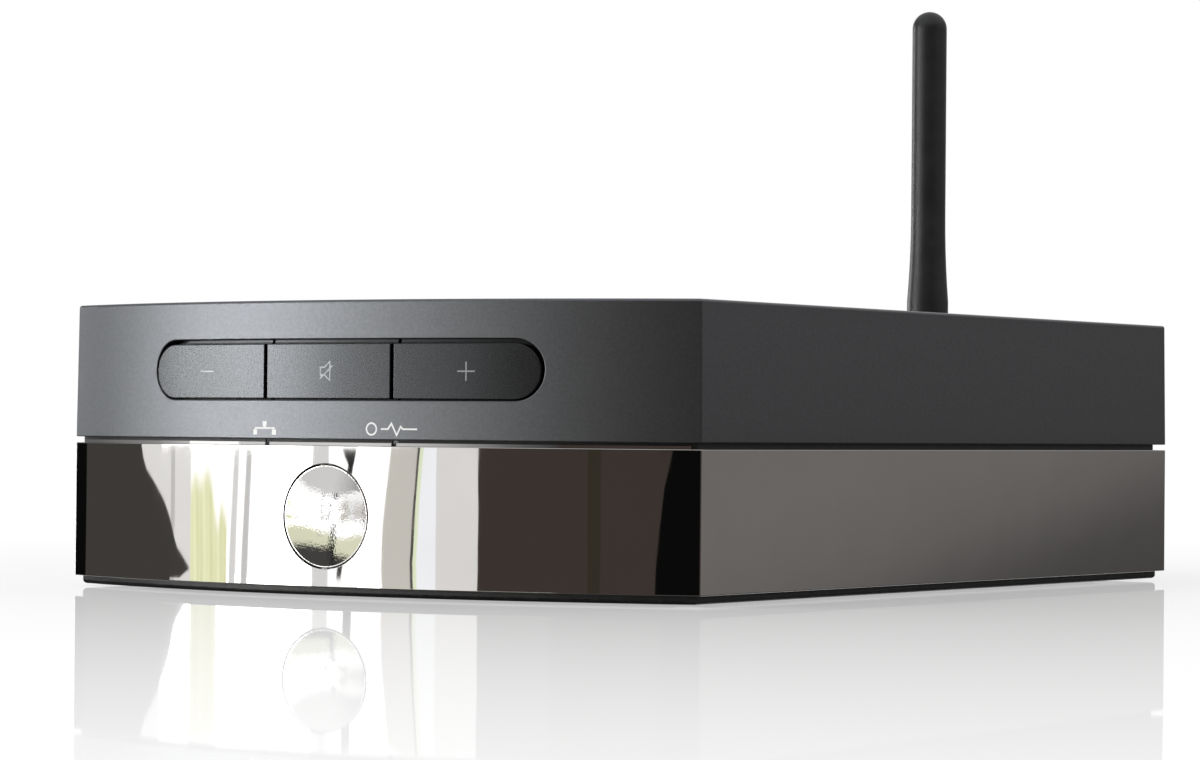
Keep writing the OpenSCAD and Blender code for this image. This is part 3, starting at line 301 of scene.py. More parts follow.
def wall_hole(skin, outer, inner, slot, lip, outer_in, inner_in):
    """The ring of faces from the free box in to the hole and through the wall."""
    rings = [outer]

    def ring(loop, share, grow, inset_of, out, across):
        row = []
        for c in loop:
            spot = Vector((skin.points[c].x, skin.points[c].z))
            edge, way = slot_edge(*spot, *slot)
            at = (edge + grow * way).lerp(spot, share)
            row.append(front_point(skin, at.x, at.y, inset_of(at.y), out, -across * way))
        rings.append(row)

    for share in RING_SHARES:
        ring(outer, share, lip, outer_in, 1, 0)
    for a in QUARTER_TURN:
        deep = lip * (1 - math.cos(a))
        ring(outer, 0, lip * (1 - math.sin(a)), lambda z: outer_in(z) + deep, math.cos(a), math.sin(a))
    for a in QUARTER_TURN[::-1]:
        deep = lip * (1 - math.cos(a))
        ring(inner, 0, lip * (1 - math.sin(a)), lambda z: inner_in(z) - deep, -math.cos(a), math.sin(a))
    for share in RING_SHARES[::-1]:
        ring(inner, share, lip, inner_in, -1, 0)
    rings.append(inner)
    for first, second in zip(rings, rings[1:]):
        skin.strip(first, second, closed=True)


# %% [markdown]
# Pillars, stems and the button are turned pieces. A profile is drawn from the axis out and back to it,
# and spun. Its sharp corners are cut back a little on both sides, so that each narrow cut shades as a
# small bevel between two true faces, the way a turned edge is broken with a file.

# %% turned pieces
TURN_STEPS = 64
EDGE = 0.12 * MM
ALONG_Y = Vector((0, 1, 0))
ALONG_Z = Vector((0, 0, 1))


def turned(skin, foot, axis, profile):
    """A piece turned about an axis: each profile point is (along, radius, way along, way out)."""
    first_ray = Vector((1, 0, 0))
    second_ray = axis.cross(first_ray)
    angles = spread(0, 2 * math.pi, 2 * math.pi / TURN_STEPS)[:-1]
    rays = [math.cos(a) * first_ray + math.sin(a) * second_ray for a in angles]
    rows = []
    for along, r, way_along, way_out in profile:
        spot = foot + along * axis
        if r < SHARP_R:
            rows.append([skin.point(spot, way_along * axis)] * TURN_STEPS)
        else:
            rows.append([skin.point(spot + r * ray, way_along * axis + way_out * ray) for ray in rays])
    for first, second in zip(rows, rows[1:]):
        skin.strip(first, second, closed=True)


def bevelled(corners, edge=EDGE):
    """A profile through sharp corners (along, radius), each cut back by edge on both sides."""
    spots = [Vector(c) for c in corners]
    profile = []
    for i in range(len(spots) - 1):
        way = (spots[i + 1] - spots[i]).normalized()
        start = spots[i] + (edge * way if i > 0 else Vector((0, 0)))
        end = spots[i + 1] - (edge * way if i < len(spots) - 2 else Vector((0, 0)))
        profile += [(start.x, start.y, -way.y, way.x), (end.x, end.y, -way.y, way.x)]
    return profile


# %% [markdown]
# Behind each front wall stand two bored pillars that a guide plate is screwed to. They are out of sight,
# but the shells are kept as meshes of their own, so they keep what the real mouldings have inside.
# Their places come from the screws and guides that the frame already holds.

# %% pillars behind a front wall
WALL = 2 * MM
PILLAR_D = 6 * MM
PILLAR_BORE = 2.3 * MM


def pillar_pair(skin, screws, guide, inset):
    low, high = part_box(screws)
    head_r = (high.z - low.z) / 2
    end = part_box(guide)[0].y
    for x in (low.x + head_r, high.x - head_r):
        start = front_way(x, inset - WALL / 2, 1)[0].y
        bore = front_way(x, inset, 1)[0].y
        outside = [(start, 0), (start, PILLAR_D / 2), (end, PILLAR_D / 2)]
        inside = [(end, PILLAR_BORE / 2), (bore, PILLAR_BORE / 2), (bore, 0)]
        turned(skin, Vector((x, 0, low.z + head_r)), ALONG_Y, bevelled(outside + inside))


# %% [markdown]
# The lower shell is the mirror: a bowed front and two sides in one piece, 2 mm thick, with the round hole
# for the power button. Button and hole follow the photograph, where they are a few tenths of a millimetre
# narrower than in the solids. The section is a closed loop, up the outer face and down the inner one,
# with a small rounding at each rim that catches a bright line of light.

# %% lower shell
LOWER_RIM_R = 0.2 * MM
HOLE_LIP = 0.12 * MM
BUTTON_D = 20.34 * MM
BUTTON_GAP = 0.25 * MM
HOLE_BOX_W = 19 * MM
HOLE_BOX_H = 12.6 * MM
HOLE_STEP = 0.8 * MM

button_low, button_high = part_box("power_button")
button_z = (button_low.z + button_high.z) / 2


def lower_wall():
    skin = Skin()
    columns, start, end = case_columns(HOLE_BOX_W, HOLE_STEP)
    low, high, r = lower_low.z, lower_high.z, LOWER_RIM_R
    zs = spread(button_z - HOLE_BOX_H, button_z + HOLE_BOX_H, HOLE_STEP)
    levels = round_levels(r, low + r, r, -90, 0)
    outer_first = len(levels)
    levels += [(0, z, 1, 0) for z in zs] + round_levels(r, high - r, r, 0, 90)
    levels += round_levels(WALL - r, high - r, r, 90, 180)
    inner_first = len(levels)
    levels += [(WALL, z, -1, 0) for z in zs[::-1]] + round_levels(WALL - r, low + r, r, 180, 270)
    rows = wall_rows(skin, columns, levels)
    free = [*range(outer_first, outer_first + len(zs) - 1), *range(inner_first, inner_first + len(zs) - 1)]
    fill_rows(skin, rows + rows[:1], free, range(start, end))
    for c in (0, -1):
        skin.face([row[c] for row in rows], facing=ALONG_Y)
    outer = box_loop(rows[outer_first:outer_first + len(zs)], start, end)
    inner = box_loop(rows[inner_first:inner_first + len(zs)][::-1], start, end)
    slot = (0, BUTTON_D / 2 + BUTTON_GAP, button_z)
    wall_hole(skin, outer, inner, slot, HOLE_LIP, lambda z: 0, lambda z: WALL)
    pillar_pair(skin, "power_screws", "power_guide", WALL)
    return skin.make("bright_shell")


bright_shell = lower_wall()

# %% [markdown]
# The upper shell is one moulding with a top, so its section isn't a loop: the outer face runs up and over
# the rounded top edge into the flat top, and the inner face runs up to the underside. The walls lean in by
# a fraction of a millimetre, which a mould needs and which turns the sheen a little towards the light.
# Four bosses hang from the top for the long case screws.

# %% upper shell
LEAN = 0.4 * MM
TOP_T = 2.2 * MM
TOP_EDGE_R = 0.6 * MM
UPPER_RIM_R = 0.25 * MM
SLOT_LIP = 0.3 * MM
KEY_LAP = 1.5 * MM
SLOT_BOX_GROW = 3.4 * MM
SLOT_STEP = 0.9 * MM
CASE_HEAD_D = 6 * MM
BOSS_D = 7 * MM
BOSS_BORE = 3.1 * MM

down_low, down_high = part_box("volume_down_key")
up_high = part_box("volume_up_key")[1]
slot_z = (down_low.z + down_high.z) / 2
slot_h = down_high.z - down_low.z - 2 * KEY_LAP
slot_w = up_high.x - down_low.x - 2 * KEY_LAP
upper_in = WALL + LEAN


def lean_at(z):
    """How far the upper shell's face is set in at a height."""
    return LEAN * (z - upper_low.z) / (upper_high.z - upper_low.z)


def screw_bosses(skin):
    low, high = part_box("case_screws")
    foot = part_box("middle_frame")[1].z
    top = upper_high.z - TOP_T / 2
    inside = [(high.z, 0), (high.z, BOSS_BORE / 2), (foot, BOSS_BORE / 2)]
    outside = [(foot, BOSS_D / 2), (top, BOSS_D / 2), (top, 0)]
    for x in (low.x + CASE_HEAD_D / 2, high.x - CASE_HEAD_D / 2):
        for y in (low.y + CASE_HEAD_D / 2, high.y - CASE_HEAD_D / 2):
            turned(skin, Vector((x, y, 0)), ALONG_Z, bevelled(inside + outside))


def upper_wall():
    skin = Skin()
    columns, start, end = case_columns(slot_w / 2 + SLOT_BOX_GROW, SLOT_STEP)
    box_half = slot_h / 2 + SLOT_BOX_GROW
    zs = spread(slot_z - box_half, slot_z + box_half, SLOT_STEP)
    top, r = upper_high.z, TOP_EDGE_R
    tilt = LEAN / (upper_high.z - upper_low.z)
    levels = round_levels(UPPER_RIM_R, upper_low.z + UPPER_RIM_R, UPPER_RIM_R, -90, 0)
    first = len(levels)
    levels += [(lean_at(z), z, 1, tilt) for z in zs]
    levels += round_levels(lean_at(top - r) + r, top - r, r, 0, 90)
    outer_rows = wall_rows(skin, columns, levels)
    inner_zs = [upper_low.z] + zs + [top - TOP_T]
    inner_rows = wall_rows(skin, columns, [(upper_in, z, -1, 0) for z in inner_zs])
    fill_rows(skin, outer_rows, range(first, first + len(zs) - 1), range(start, end))
    fill_rows(skin, inner_rows, range(1, len(zs)), range(start, end))
    skin.strip(inner_rows[0], outer_rows[0], facing=-ALONG_Z)
    skin.face(outer_rows[-1], facing=ALONG_Z)
    skin.face(inner_rows[-1], facing=-ALONG_Z)
    rear = [row[0] for row in outer_rows] + [row[-1] for row in outer_rows[::-1]]
    rear += [row[-1] for row in inner_rows] + [row[0] for row in inner_rows[::-1]]
    skin.face(rear, facing=ALONG_Y)
    outer = box_loop(outer_rows[first:first + len(zs)], start, end)
    inner = box_loop(inner_rows[1:len(zs) + 1], start, end)
    slot = (slot_w / 2 - slot_h / 2, slot_h / 2, slot_z)
    wall_hole(skin, outer, inner, slot, SLOT_LIP, lean_at, lambda z: upper_in)
    pillar_pair(skin, "key_screws", "key_guide", upper_in)
    screw_bosses(skin)
    return skin.make("grey_shell")


grey_shell = upper_wall()

# %% [markdown]
# In the groove between the shells, along the front only, runs a narrow bright bead that stands on the
# lower shell. It leans back a little, so it mirrors the ceiling and shows as a pale line under the dark
# gap. It stops at both sides of each indicator light, which is a small dark window between its ends.

# %% bead in the groove
BEAD_IN = 0.85 * MM
BEAD_T = 0.5 * MM
BEAD_H = 0.7 * MM
BEAD_LEAN = math.radians(8)
BEAD_SINK = 0.1 * MM
BEAD_END = 2.4 * MM
BEAD_STEP = 2 * MM
LIGHT_W = 1.2 * MM

light_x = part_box("light_guides")[1].x - LIGHT_W / 2


def groove_bead():
    skin = Skin()
    foot = lower_high.z - BEAD_SINK
    top = foot + BEAD_H
    back_in = BEAD_IN + BEAD_T
    top_in = BEAD_IN + BEAD_H * math.tan(BEAD_LEAN)
    section = [(BEAD_IN, foot), (top_in, top), (back_in, top), (back_in, foot)]
    sides = [(math.cos(BEAD_LEAN), math.sin(BEAD_LEAN)), (0, 1), (-1, 0), (0, -1)]
    ends = [-half_w + BEAD_END]
    for x in (-light_x, light_x):
        ends += [x - LIGHT_W / 2, x + LIGHT_W / 2]
    ends += [half_w - BEAD_END]
    for start, end in zip(ends[::2], ends[1::2]):
        xs = spread(start, end, BEAD_STEP)
        rows = [[front_point(skin, x, z, inset, 1) for x in xs] for inset, z in section]
        for i, (out, up) in enumerate(sides):
            ways = [front_way(x, BEAD_IN, out, (0, up))[1] for x in xs]
            skin.strip(rows[i], rows[(i + 1) % len(rows)], ways=ways)
        for i, side in ((0, -1), (-1, 1)):
            skin.face([row[i] for row in rows], facing=front_way(xs[i], BEAD_IN, 0, (side, 0))[1])
    return skin.make("groove_bead")


bead = groove_bead()

# %% [markdown]
# A key is made of bars that follow the bow. A bar is built ring by ring, from its front to its back, and
# each ring is an upper and a lower row. A straight end is a round end with a small radius, so one outline
# serves them all.

# %% bars along the bow
BAR_ARC_STEPS = 14
BAR_STRAIGHT_STEPS = 16
FLANGE_ROOM = 0.4 * MM

flange_in = upper_in + FLANGE_ROOM


def bar_edge(ends, half_h, cut):
    """The upper half of a bar's outline, cut back by cut; an end (x, radius) is round or nearly square."""
    centres = []
    arcs = []
    for side, (x, r) in zip((-1, 1), ends):
        centres.append(Vector((x - side * r, half_h - r)))
        angles = spread(0, math.pi / 2, math.pi / 2 / BAR_ARC_STEPS)
        ways = [Vector((side * math.cos(a), math.sin(a))) for a in angles]
        arcs.append([(centres[-1] + (r - cut) * way, way) for way in ways])
    start, end = centres[0].x, centres[1].x
    middle = spread(start, end, (end - start) / BAR_STRAIGHT_STEPS)[1:-1]
    return arcs[0] + [(Vector((x, half_h - cut)), Vector((0, 1))) for x in middle] + arcs[1][::-1]


def bar_ring(skin, edge, mid_z, inset, out, across):
    """A ring round a bar as an upper and a lower row, which share the tip of a round end."""
    upper = []
    lower = []
    for spot, way in edge:
        upper.append(front_point(skin, spot.x, mid_z + spot.y, inset, out, across * way))
        if spot.y < SHARP_R:
            lower.append(upper[-1])
        else:
            down = Vector((way.x, -way.y))
            lower.append(front_point(skin, spot.x, mid_z - spot.y, inset, out, across * down))
    return upper, lower


def bar(skin, ends, half_h, mid_z, sections):
    """A closed bar through sections (cut, inset, way out, way across) from its front to its back."""
    rings = []
    for cut, inset, out, across in sections:
        rings.append(bar_ring(skin, bar_edge(ends, half_h, cut), mid_z, inset, out, across))
    loops = [upper + lower[::-1] for upper, lower in rings]
    for first, second in zip(loops, loops[1:]):
        skin.strip(first, second, closed=True)
    for (upper, lower), out in ((rings[0], 1), (rings[-1], -1)):
        skin.strip(upper, lower, ways=[front_way(skin.points[c].x, flange_in, out)[1] for c in upper])


# %% [markdown]
# The three keys are one round-ended bar cut in three. Each has a cap with a rounded rim, a black collar
# round the cap's foot, and a flange with the stem that presses the switch. The collar is painted shade:
# its black stands in for the dark recessed gap between cap and flange. The flange is wider than the slot,
# so it keeps the key in the case, and it shows as a thin strip through the gap above the cap. The outline
# of each is the slot's, grown or shrunk, and only the outer keys have a round end.

# %% keys
KEY_GAP = 0.55 * MM
KEY_SPLIT = 0.7 * MM
KEY_TRIM = 0.8 * MM
KEY_DROP = 0.3 * MM
KEY_OUT = 0.15 * MM
KEY_RIM_R = 0.2 * MM
KEY_END_R = 0.3 * MM
FLANGE_T = 1.2 * MM
SHADE_COLLAR_W = 0.35 * MM
SHADE_COLLAR_OUT = 0.15 * MM
STEM_D = 5 * MM
KEY_PLACES = {"volume_down": -1, "mute": 0, "volume_up": 1}

key_z = slot_z - KEY_DROP
key_face_in = LEAN / 2 - KEY_OUT
key_pitch = slot_w / len(KEY_PLACES)
split_x = (key_pitch - KEY_TRIM) / 2
flange_mid = flange_in + FLANGE_T / 2
cap_rim = []
for a in QUARTER_TURN:
    cut = KEY_RIM_R * (1 - math.sin(a))
    deep = KEY_RIM_R * (1 - math.cos(a))
    cap_rim.append((cut, key_face_in + deep, math.cos(a), math.sin(a)))
key_bars = {
    "_cap": (-KEY_GAP, key_z, cap_rim + [(0, flange_mid, 0, 1)]),
    # The collar is painted shade: a black band for the dark gap round the cap's foot.
    "_shade_collar": (SHADE_COLLAR_W - KEY_GAP, key_z, [(0, flange_in - SHADE_COLLAR_OUT, 0, 1), (0, flange_mid, 0, 1)]),
    "_flange": (KEY_LAP, slot_z, [(0, flange_in, 0, 1), (0, flange_in + FLANGE_T, 0, 1)]),
}


def key_stem(skin, name, x):
    start = front_way(x, flange_mid, 1)[0].y
    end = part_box(name + "_key")[1].y
    stem = bevelled([(start, 0), (start, STEM_D / 2), (end, STEM_D / 2), (end, 0)])
    turned(skin, Vector((x, 0, key_z)), ALONG_Y, stem)


def key_piece(name, place, part):
    """A key's cap, painted-shade band or flange: place is -1 on the left, 0 in the middle and 1 on the
    right.
    """
    grow, mid_z, sections = key_bars[part]
    half_h = slot_h / 2 + grow
    ends = [((2 * place + side) * split_x - side * KEY_SPLIT / 2, KEY_END_R) for side in (-1, 1)]
    if place:
        ends[(place + 1) // 2] = (place * (slot_w / 2 + grow), half_h)
    skin = Skin()
    bar(skin, ends, half_h, mid_z, sections)
    if part == "_flange":
        key_stem(skin, name, place * key_pitch)
    return skin.make(name + part)


keys = {}
for name, place in KEY_PLACES.items():
    keys[name] = [key_piece(name, place, part) for part in key_bars]

# %% [markdown]
# The power button is a turned piece too: a shallow dome like a watch glass with a narrow, almost flat
# ring round it, a rounded rim, the flange that keeps it in the case and the stem. Its profile is worked
# out from the dome's rise. What the photograph shows on the dome asks for a flatter one than the solid's,
# so its top starts a little further back and its edge stays in place. The ways of the dome point away
# from one far centre, so it mirrors the room like a small convex mirror, and the ring mirrors one thin
# slice of the window.

# %% power button
DOME_RISE = 1.0 * MM
DOME_BACK = 0.35 * MM
RING_W = 0.3 * MM
RING_LEAN = math.radians(2.2)
BUTTON_RIM_R = 0.15 * MM
BUTTON_FLANGE_T = 1.2 * MM
BUTTON_STEM_D = 8 * MM
DOME_STEPS = 24
CREASE = 0.03 * MM


def button_piece():
    skin = Skin()
    r = BUTTON_D / 2
    ring_r = r - BUTTON_RIM_R
    dome_r = ((r - RING_W) ** 2 + DOME_RISE ** 2) / (2 * DOME_RISE)
    centre = button_low.y + DOME_BACK + dome_r
    dome_angle = math.asin((r - RING_W) / dome_r)
    profile = []
    for a in spread(0, dome_angle, dome_angle / DOME_STEPS):
        profile.append((centre - dome_r * math.cos(a), dome_r * math.sin(a), -math.cos(a), math.sin(a)))
    ring_y = profile[-1][0]
    ring_way = (-math.cos(RING_LEAN), math.sin(RING_LEAN))
    for spot_r in (r - RING_W + CREASE, ring_r):
        lean = (spot_r - r + RING_W) * math.tan(RING_LEAN)
        profile.append((ring_y + lean, spot_r, *ring_way))
    rim_y = profile[-1][0] + BUTTON_RIM_R * math.cos(RING_LEAN)
    for a in spread(RING_LEAN, math.pi / 2, (math.pi / 2 - RING_LEAN) / ROUND_STEPS)[1:]:
        spot = (rim_y - BUTTON_RIM_R * math.cos(a), ring_r + BUTTON_RIM_R * math.sin(a))
        profile.append((*spot, -math.cos(a), math.sin(a)))
    flange_r = (button_high.x - button_low.x) / 2
    flange = front_way(flange_r, WALL, 1)[0].y + FLANGE_ROOM
    flange_end = flange + BUTTON_FLANGE_T
    stem_r = BUTTON_STEM_D / 2
    corners = [(profile[-1][0], r), (flange, r), (flange, flange_r), (flange_end, flange_r)]
    corners += [(flange_end, stem_r), (button_high.y, stem_r), (button_high.y, 0)]
    turned(skin, Vector((0, 0, button_z)), ALONG_Y, profile + bevelled(corners)[1:])
    return skin.make("power_cap")


power_cap = button_piece()

# %% [markdown]
# The signs on the keys and under them are printed. A print could be a pattern in the material, but then it
# is lost in a plain mesh, so each line is a plate a few hundredths of a millimetre thick that follows the
# bow. A line is drawn through a few points; its corners are mitred and long stretches are split.

# %% printed lines
PRINT_T = 0.03 * MM
PRINT_OVER = 0.01 * MM
PRINT_STEP = 1 * MM
LEAST_MITRE = 0.5


def split_line(spots, closed):
    """The same line with no stretch longer than the print's step."""
    spots = [Vector(spot) for spot in spots]
    ends = spots[1:] + spots[:1] if closed else spots[1:]
    fine = []
    for a, b in zip(spots, ends):
        fine += [a.lerp(b, t) for t in spread(0, 1, PRINT_STEP / (b - a).length)[:-1]]
    return fine if closed else fine + [spots[-1]]


def print_line(skin, spots, width, inset, closed=False):
    """A raised line through spots (x, z) on the bow, whose face lies at inset."""
    spots = split_line(spots, closed)
    runs = [(b - a).normalized() for a, b in zip(spots, spots[1:] + spots[:1])]
    runs = runs if closed else runs[:-1]
    befores = runs[-1:] + runs[:-1] if closed else runs[:1] + runs
    afters = runs if closed else runs + runs[-1:]
    rows = [[], [], [], []]
    lefts = []
    for spot, before, after in zip(spots, befores, afters):
        run = (before + after).normalized()
        left = Vector((-run.y, run.x))
        reach = width / 2 / max(LEAST_MITRE, run.dot(before))
        lefts.append(front_way(spot.x, inset, 0, left)[1])
        for row, (side, out) in zip(rows, ((1, 1), (-1, 1), (-1, -1), (1, -1))):
            at = spot + side * reach * left
            row.append(front_point(skin, at.x, at.y, inset - out * PRINT_T, out))
    skin.strip(rows[0], rows[1], closed)
    skin.strip(rows[2], rows[3], closed)
    skin.strip(rows[3], rows[0], closed, ways=lefts)
    skin.strip(rows[1], rows[2], closed, ways=[-way for way in lefts])
    if not closed:
        for i, run in ((0, -runs[0]), (-1, runs[-1])):
            skin.face([row[i] for row in rows], facing=front_way(spots[i].x, inset, 0, run)[1])


# %% [markdown]
# The volume keys carry a plain minus and plus, and the middle key a crossed-out loudspeaker. Under the
# slot, above the two indicator lights, stand two small pictograms: three joined boxes for the network and
# a ring with a pulse for the state of the player. All are drawn in millimetres from the middle of their
# place. A line that crosses another lies a hair higher, so that no two faces fall together.

# %% signs
SIGN_LINE = 0.27 * MM
PICTURE_LINE = 0.34 * MM
PICTURE_Z = 33.55 * MM
SPEAKER = [(-1.4, -0.75), (-0.4, -0.75), (0.95, -1.85), (0.95, 1.85), (-0.4, 0.75), (-1.4, 0.75)]
DRAWINGS = {
    "volume_down": [[(-1.95, 0), (1.95, 0)]],
    "mute": [SPEAKER, [(-1.5, -1.5), (1.6, 1.1)]],
    "volume_up": [[(-1.85, 0), (1.85, 0)], [(0, -1.85), (0, 1.85)]],
}
NODE_SIZE = 1.05
NODES = [(0, 0.82), (-2.5, -0.82), (2.5, -0.82)]
NODE_LINES = [[(0, 0.6), (0, 0)], [(-2.5, -0.6), (-2.5, 0), (2.5, 0), (2.5, -0.6)]]
RING_R = 1.15
RING_X = -4.6
RING_STEPS = 32
PULSE = [(-2.4, 0), (-0.8, 0), (0, 1.1), (1.2, -1.2), (2.1, 0.5), (2.6, 0), (5.8, 0)]


def placed(spots, x, z):
    """Spots given in millimetres from the middle of a sign."""
    return [(x + a * MM, z + b * MM) for a, b in spots]


def key_sign(name):
    skin = Skin()
    for layer, spots in enumerate(DRAWINGS[name]):
        line = placed(spots, KEY_PLACES[name] * key_pitch, key_z)
        print_line(skin, line, SIGN_LINE, key_face_in - layer * PRINT_OVER, closed=spots is SPEAKER)
    return skin.make(name + "_sign")


def light_signs():
    face_in = lean_at(PICTURE_Z)
    skin = Skin()
    for spots in NODE_LINES:
        print_line(skin, placed(spots, -light_x, PICTURE_Z), PICTURE_LINE, face_in)
    for x, z in NODES:
        box = placed([(x - NODE_SIZE / 2, z), (x + NODE_SIZE / 2, z)], -light_x, PICTURE_Z)
        print_line(skin, box, NODE_SIZE * MM, face_in - PRINT_OVER)
    angles = spread(0, 2 * math.pi, 2 * math.pi / RING_STEPS)[:-1]
    ring = [(RING_X + RING_R * math.cos(a), RING_R * math.sin(a)) for a in angles]
    print_line(skin, placed(ring, light_x, PICTURE_Z), PICTURE_LINE, face_in, closed=True)
    print_line(skin, placed(PULSE, light_x, PICTURE_Z), PICTURE_LINE, face_in)
    return skin.make("light_signs")


signs = {name: key_sign(name) for name in DRAWINGS}
case_signs = light_signs()

# %% [markdown]
# Every new piece rides on the body that carries it, so that a pressed key takes its sign with it. The
# solid that a piece replaces is hidden, but stays in the model. The solids that it replaces stay in the
# model for collision only. Some pieces get a finish of their own, a finer one than their slot's common
# one.

# %% tie the pieces to the frame
PRINT_SLOT = "cable_white"

new_pieces = [
    (bright_shell, "case", "lower_shell", "chrome_plate"),
    (bead, "case", None, "chrome_plate"),
    (grey_shell, "case", "upper_shell", "grey_paint"),
    (power_cap, "power", "power_button", "chrome_plate"),
    (case_signs, "case", None, PRINT_SLOT),
]
for name, (cap, shade_collar, flange) in keys.items():
    new_pieces.append((cap, name, name + "_key", "key_plastic"))
    # The collar's black plastic is painted shade of the recessed gap between cap and flange.
    new_pieces.append((shade_collar, name, name + "_key", "black_plastic"))
    new_pieces.append((flange, name, name + "_key", "black_plastic"))
    new_pieces.append((signs[name], name, None, PRINT_SLOT))
own_finish = {"power_cap": "button_plate", "light_signs": "case_print"}
for name in keys:
    own_finish[name + "_flange"] = "flange_plastic"
    own_finish[name + "_sign"] = "key_print"
for piece, body, solid, slot in new_pieces:
    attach(piece, body)
    if solid:
        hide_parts(solid)
print("new pieces", len(new_pieces))

# %% [markdown]
# Finishes are built from nodes, and these are the few that all of them share: a noise, and what it may
# change, which is a number, a colour or the surface itself. Sizes are in millimetres of the real thing,
# because the noise runs in each piece's own coordinates.

# %% the parts of a finish
NOISE_LOW = 0.3
NOISE_HIGH = 0.7
EVEN = (1, 1, 1)


def feed(made, socket, value):
    """Sets a socket to a value, or links it to another node's output."""
    if isinstance(value, bpy.types.NodeSocket):
        made.node_tree.links.new(value, socket)
    else:
        socket.default_value = value


def node(made, kind, **inputs):
    """A new node with its inputs set by name; a space in a name is written as an underline."""
    new = made.node_tree.nodes.new("ShaderNode" + kind)
    for name, value in inputs.items():
        feed(made, new.inputs[name.replace("_", " ")], value)
    return new


def noise(made, size, detail=2.0, stretch=EVEN):
    """Noise with lumps about size millimetres across, drawn out along an axis by stretch."""
    coordinates = node(made, "TexCoord").outputs["Object"]
    scale = [1 / (size * MM * s) for s in stretch]
    mapped = node(made, "Mapping", Vector=coordinates, Scale=scale).outputs["Vector"]
    return node(made, "TexNoise", Vector=mapped, Scale=1.0, Detail=detail).outputs["Fac"]


def swing(made, value, low, high):
    """A noise value turned into a range of its own."""
    ends = {"From_Min": NOISE_LOW, "From_Max": NOISE_HIGH, "To_Min": low, "To_Max": high}
    return node(made, "MapRange", Value=value, **ends).outputs["Result"]


def tone(made, value, dark, light):
    """A noise value turned into a colour between two."""
    ramp = node(made, "ValToRGB", Fac=value)
    for element, place, colour in zip(ramp.color_ramp.elements, (NOISE_LOW, NOISE_HIGH), (dark, light)):
        element.position = place
        element.color = (*colour, 1)
    return ramp.outputs["Color"]


def lifted(made, value, height, under=None):
    """A surface that a noise value lifts by up to height millimetres."""
    bump = node(made, "Bump", Height=value, Distance=height * MM)
    if under:
        feed(made, bump.inputs["Normal"], under)
    return bump.outputs["Normal"]


# %% [markdown]
# Most finishes are the same recipe: a slow noise lets the colour drift between two near tones, and a fine
# noise swings the roughness and lifts the surface by a few microns.

# %% the common recipe
GRAIN_DETAIL = 4.0

finishes = {}


def finish(slot, dark, light, drift, rough, grain, lift, metal=0.0, stretch=EVEN):
    """The common recipe: drift and grain are sizes in millimetres, lift is the grain's height."""
    made = bpy.data.materials.new(slot)
    made.use_nodes = True
    shader = made.node_tree.nodes["Principled BSDF"]
    slow = noise(made, drift, stretch=stretch)
    fine = noise(made, grain, GRAIN_DETAIL, stretch)
    feed(made, shader.inputs["Base Color"], tone(made, slow, dark, light))
    feed(made, shader.inputs["Roughness"], swing(made, fine, *rough))
    if lift:
        feed(made, shader.inputs["Normal"], lifted(made, fine, lift))
    shader.inputs["Metallic"].default_value = metal
    finishes[slot] = made
    return made, shader


# %% [markdown]
# The upper shell has a satin metallic paint. It is dark, yet it glows where it faces the window, which
# is what a rough metal does and a matt paint doesn't. Its grain has two sizes: fine flakes that sparkle
# and a soft orange peel that breaks up the sheen. The keys are darker and smoother, and their flanges
# darker still. The ink of the keys' signs is thin, so some of the key's sheen shows through.

# %% grey paint and keys
WAVE_DETAIL = 1.0
FLAKE = 0.3
FLAKE_DRIFT = 0.55
PEEL = 1.1


def satin(slot, dark, light, rough, lift):
    made, shader = finish(slot, dark, light, FLAKE_DRIFT, rough, FLAKE, lift, metal=1.0)
    grainy = shader.inputs["Normal"].links[0].from_socket
    feed(made, shader.inputs["Normal"], lifted(made, noise(made, PEEL, WAVE_DETAIL), lift, grainy))


satin("grey_paint", (0.202, 0.209, 0.224), (0.236, 0.244, 0.262), (0.38, 0.46), 0.005)
satin("key_plastic", (0.075, 0.078, 0.082), (0.082, 0.085, 0.09), (0.25, 0.29), 0.002)
satin("flange_plastic", (0.05, 0.052, 0.055), (0.056, 0.058, 0.062), (0.27, 0.31), 0.002)
finish("key_print", (0.36, 0.37, 0.38), (0.4, 0.41, 0.42), 0.8, (0.3, 0.4), 0.2, 0.001, 0.35)
finish("case_print", (0.93, 0.93, 0.92), (0.97, 0.97, 0.96), 0.8, (0.35, 0.5), 0.2, 0.001)
print("paint, keys and prints", len(finishes))

# %% [markdown]
# The lower shell and the button are plated like a mirror. Real plating is never quite flat: slow waves a
# few microns high bend straight reflections a little, and faint haze makes some patches softer. The
# button is cheaper work: fine ripples under its plating break up the edges of what it mirrors.

# %% bright plating
PLATE_DARK = (0.735, 0.722, 0.71)
PLATE_LIGHT = (0.765, 0.752, 0.74)
PLATE_DRIFT = 14
HAZE_SIZE = 6
PLATE_LIFT = 0.012


def plating(slot, haze, waves):
    made, shader = finish(slot, PLATE_DARK, PLATE_LIGHT, PLATE_DRIFT, haze, HAZE_SIZE, 0, metal=1.0)
    feed(made, shader.inputs["Normal"], lifted(made, noise(made, waves, WAVE_DETAIL), PLATE_LIFT))


plating("chrome_plate", (0.012, 0.03), 16)
plating("button_plate", (0.02, 0.05), 0.45)
print("with plating", len(finishes))

# %% [markdown]
# The other finishes follow the common recipe: powder coat on the base and rear panel, moulded blacks, the
# rubbers, plated and blackened metals, and the coloured rings that tell the jacks apart. Dark plastics
# are never pure black: they reflect about four parts in a hundred, and their colour is near two.

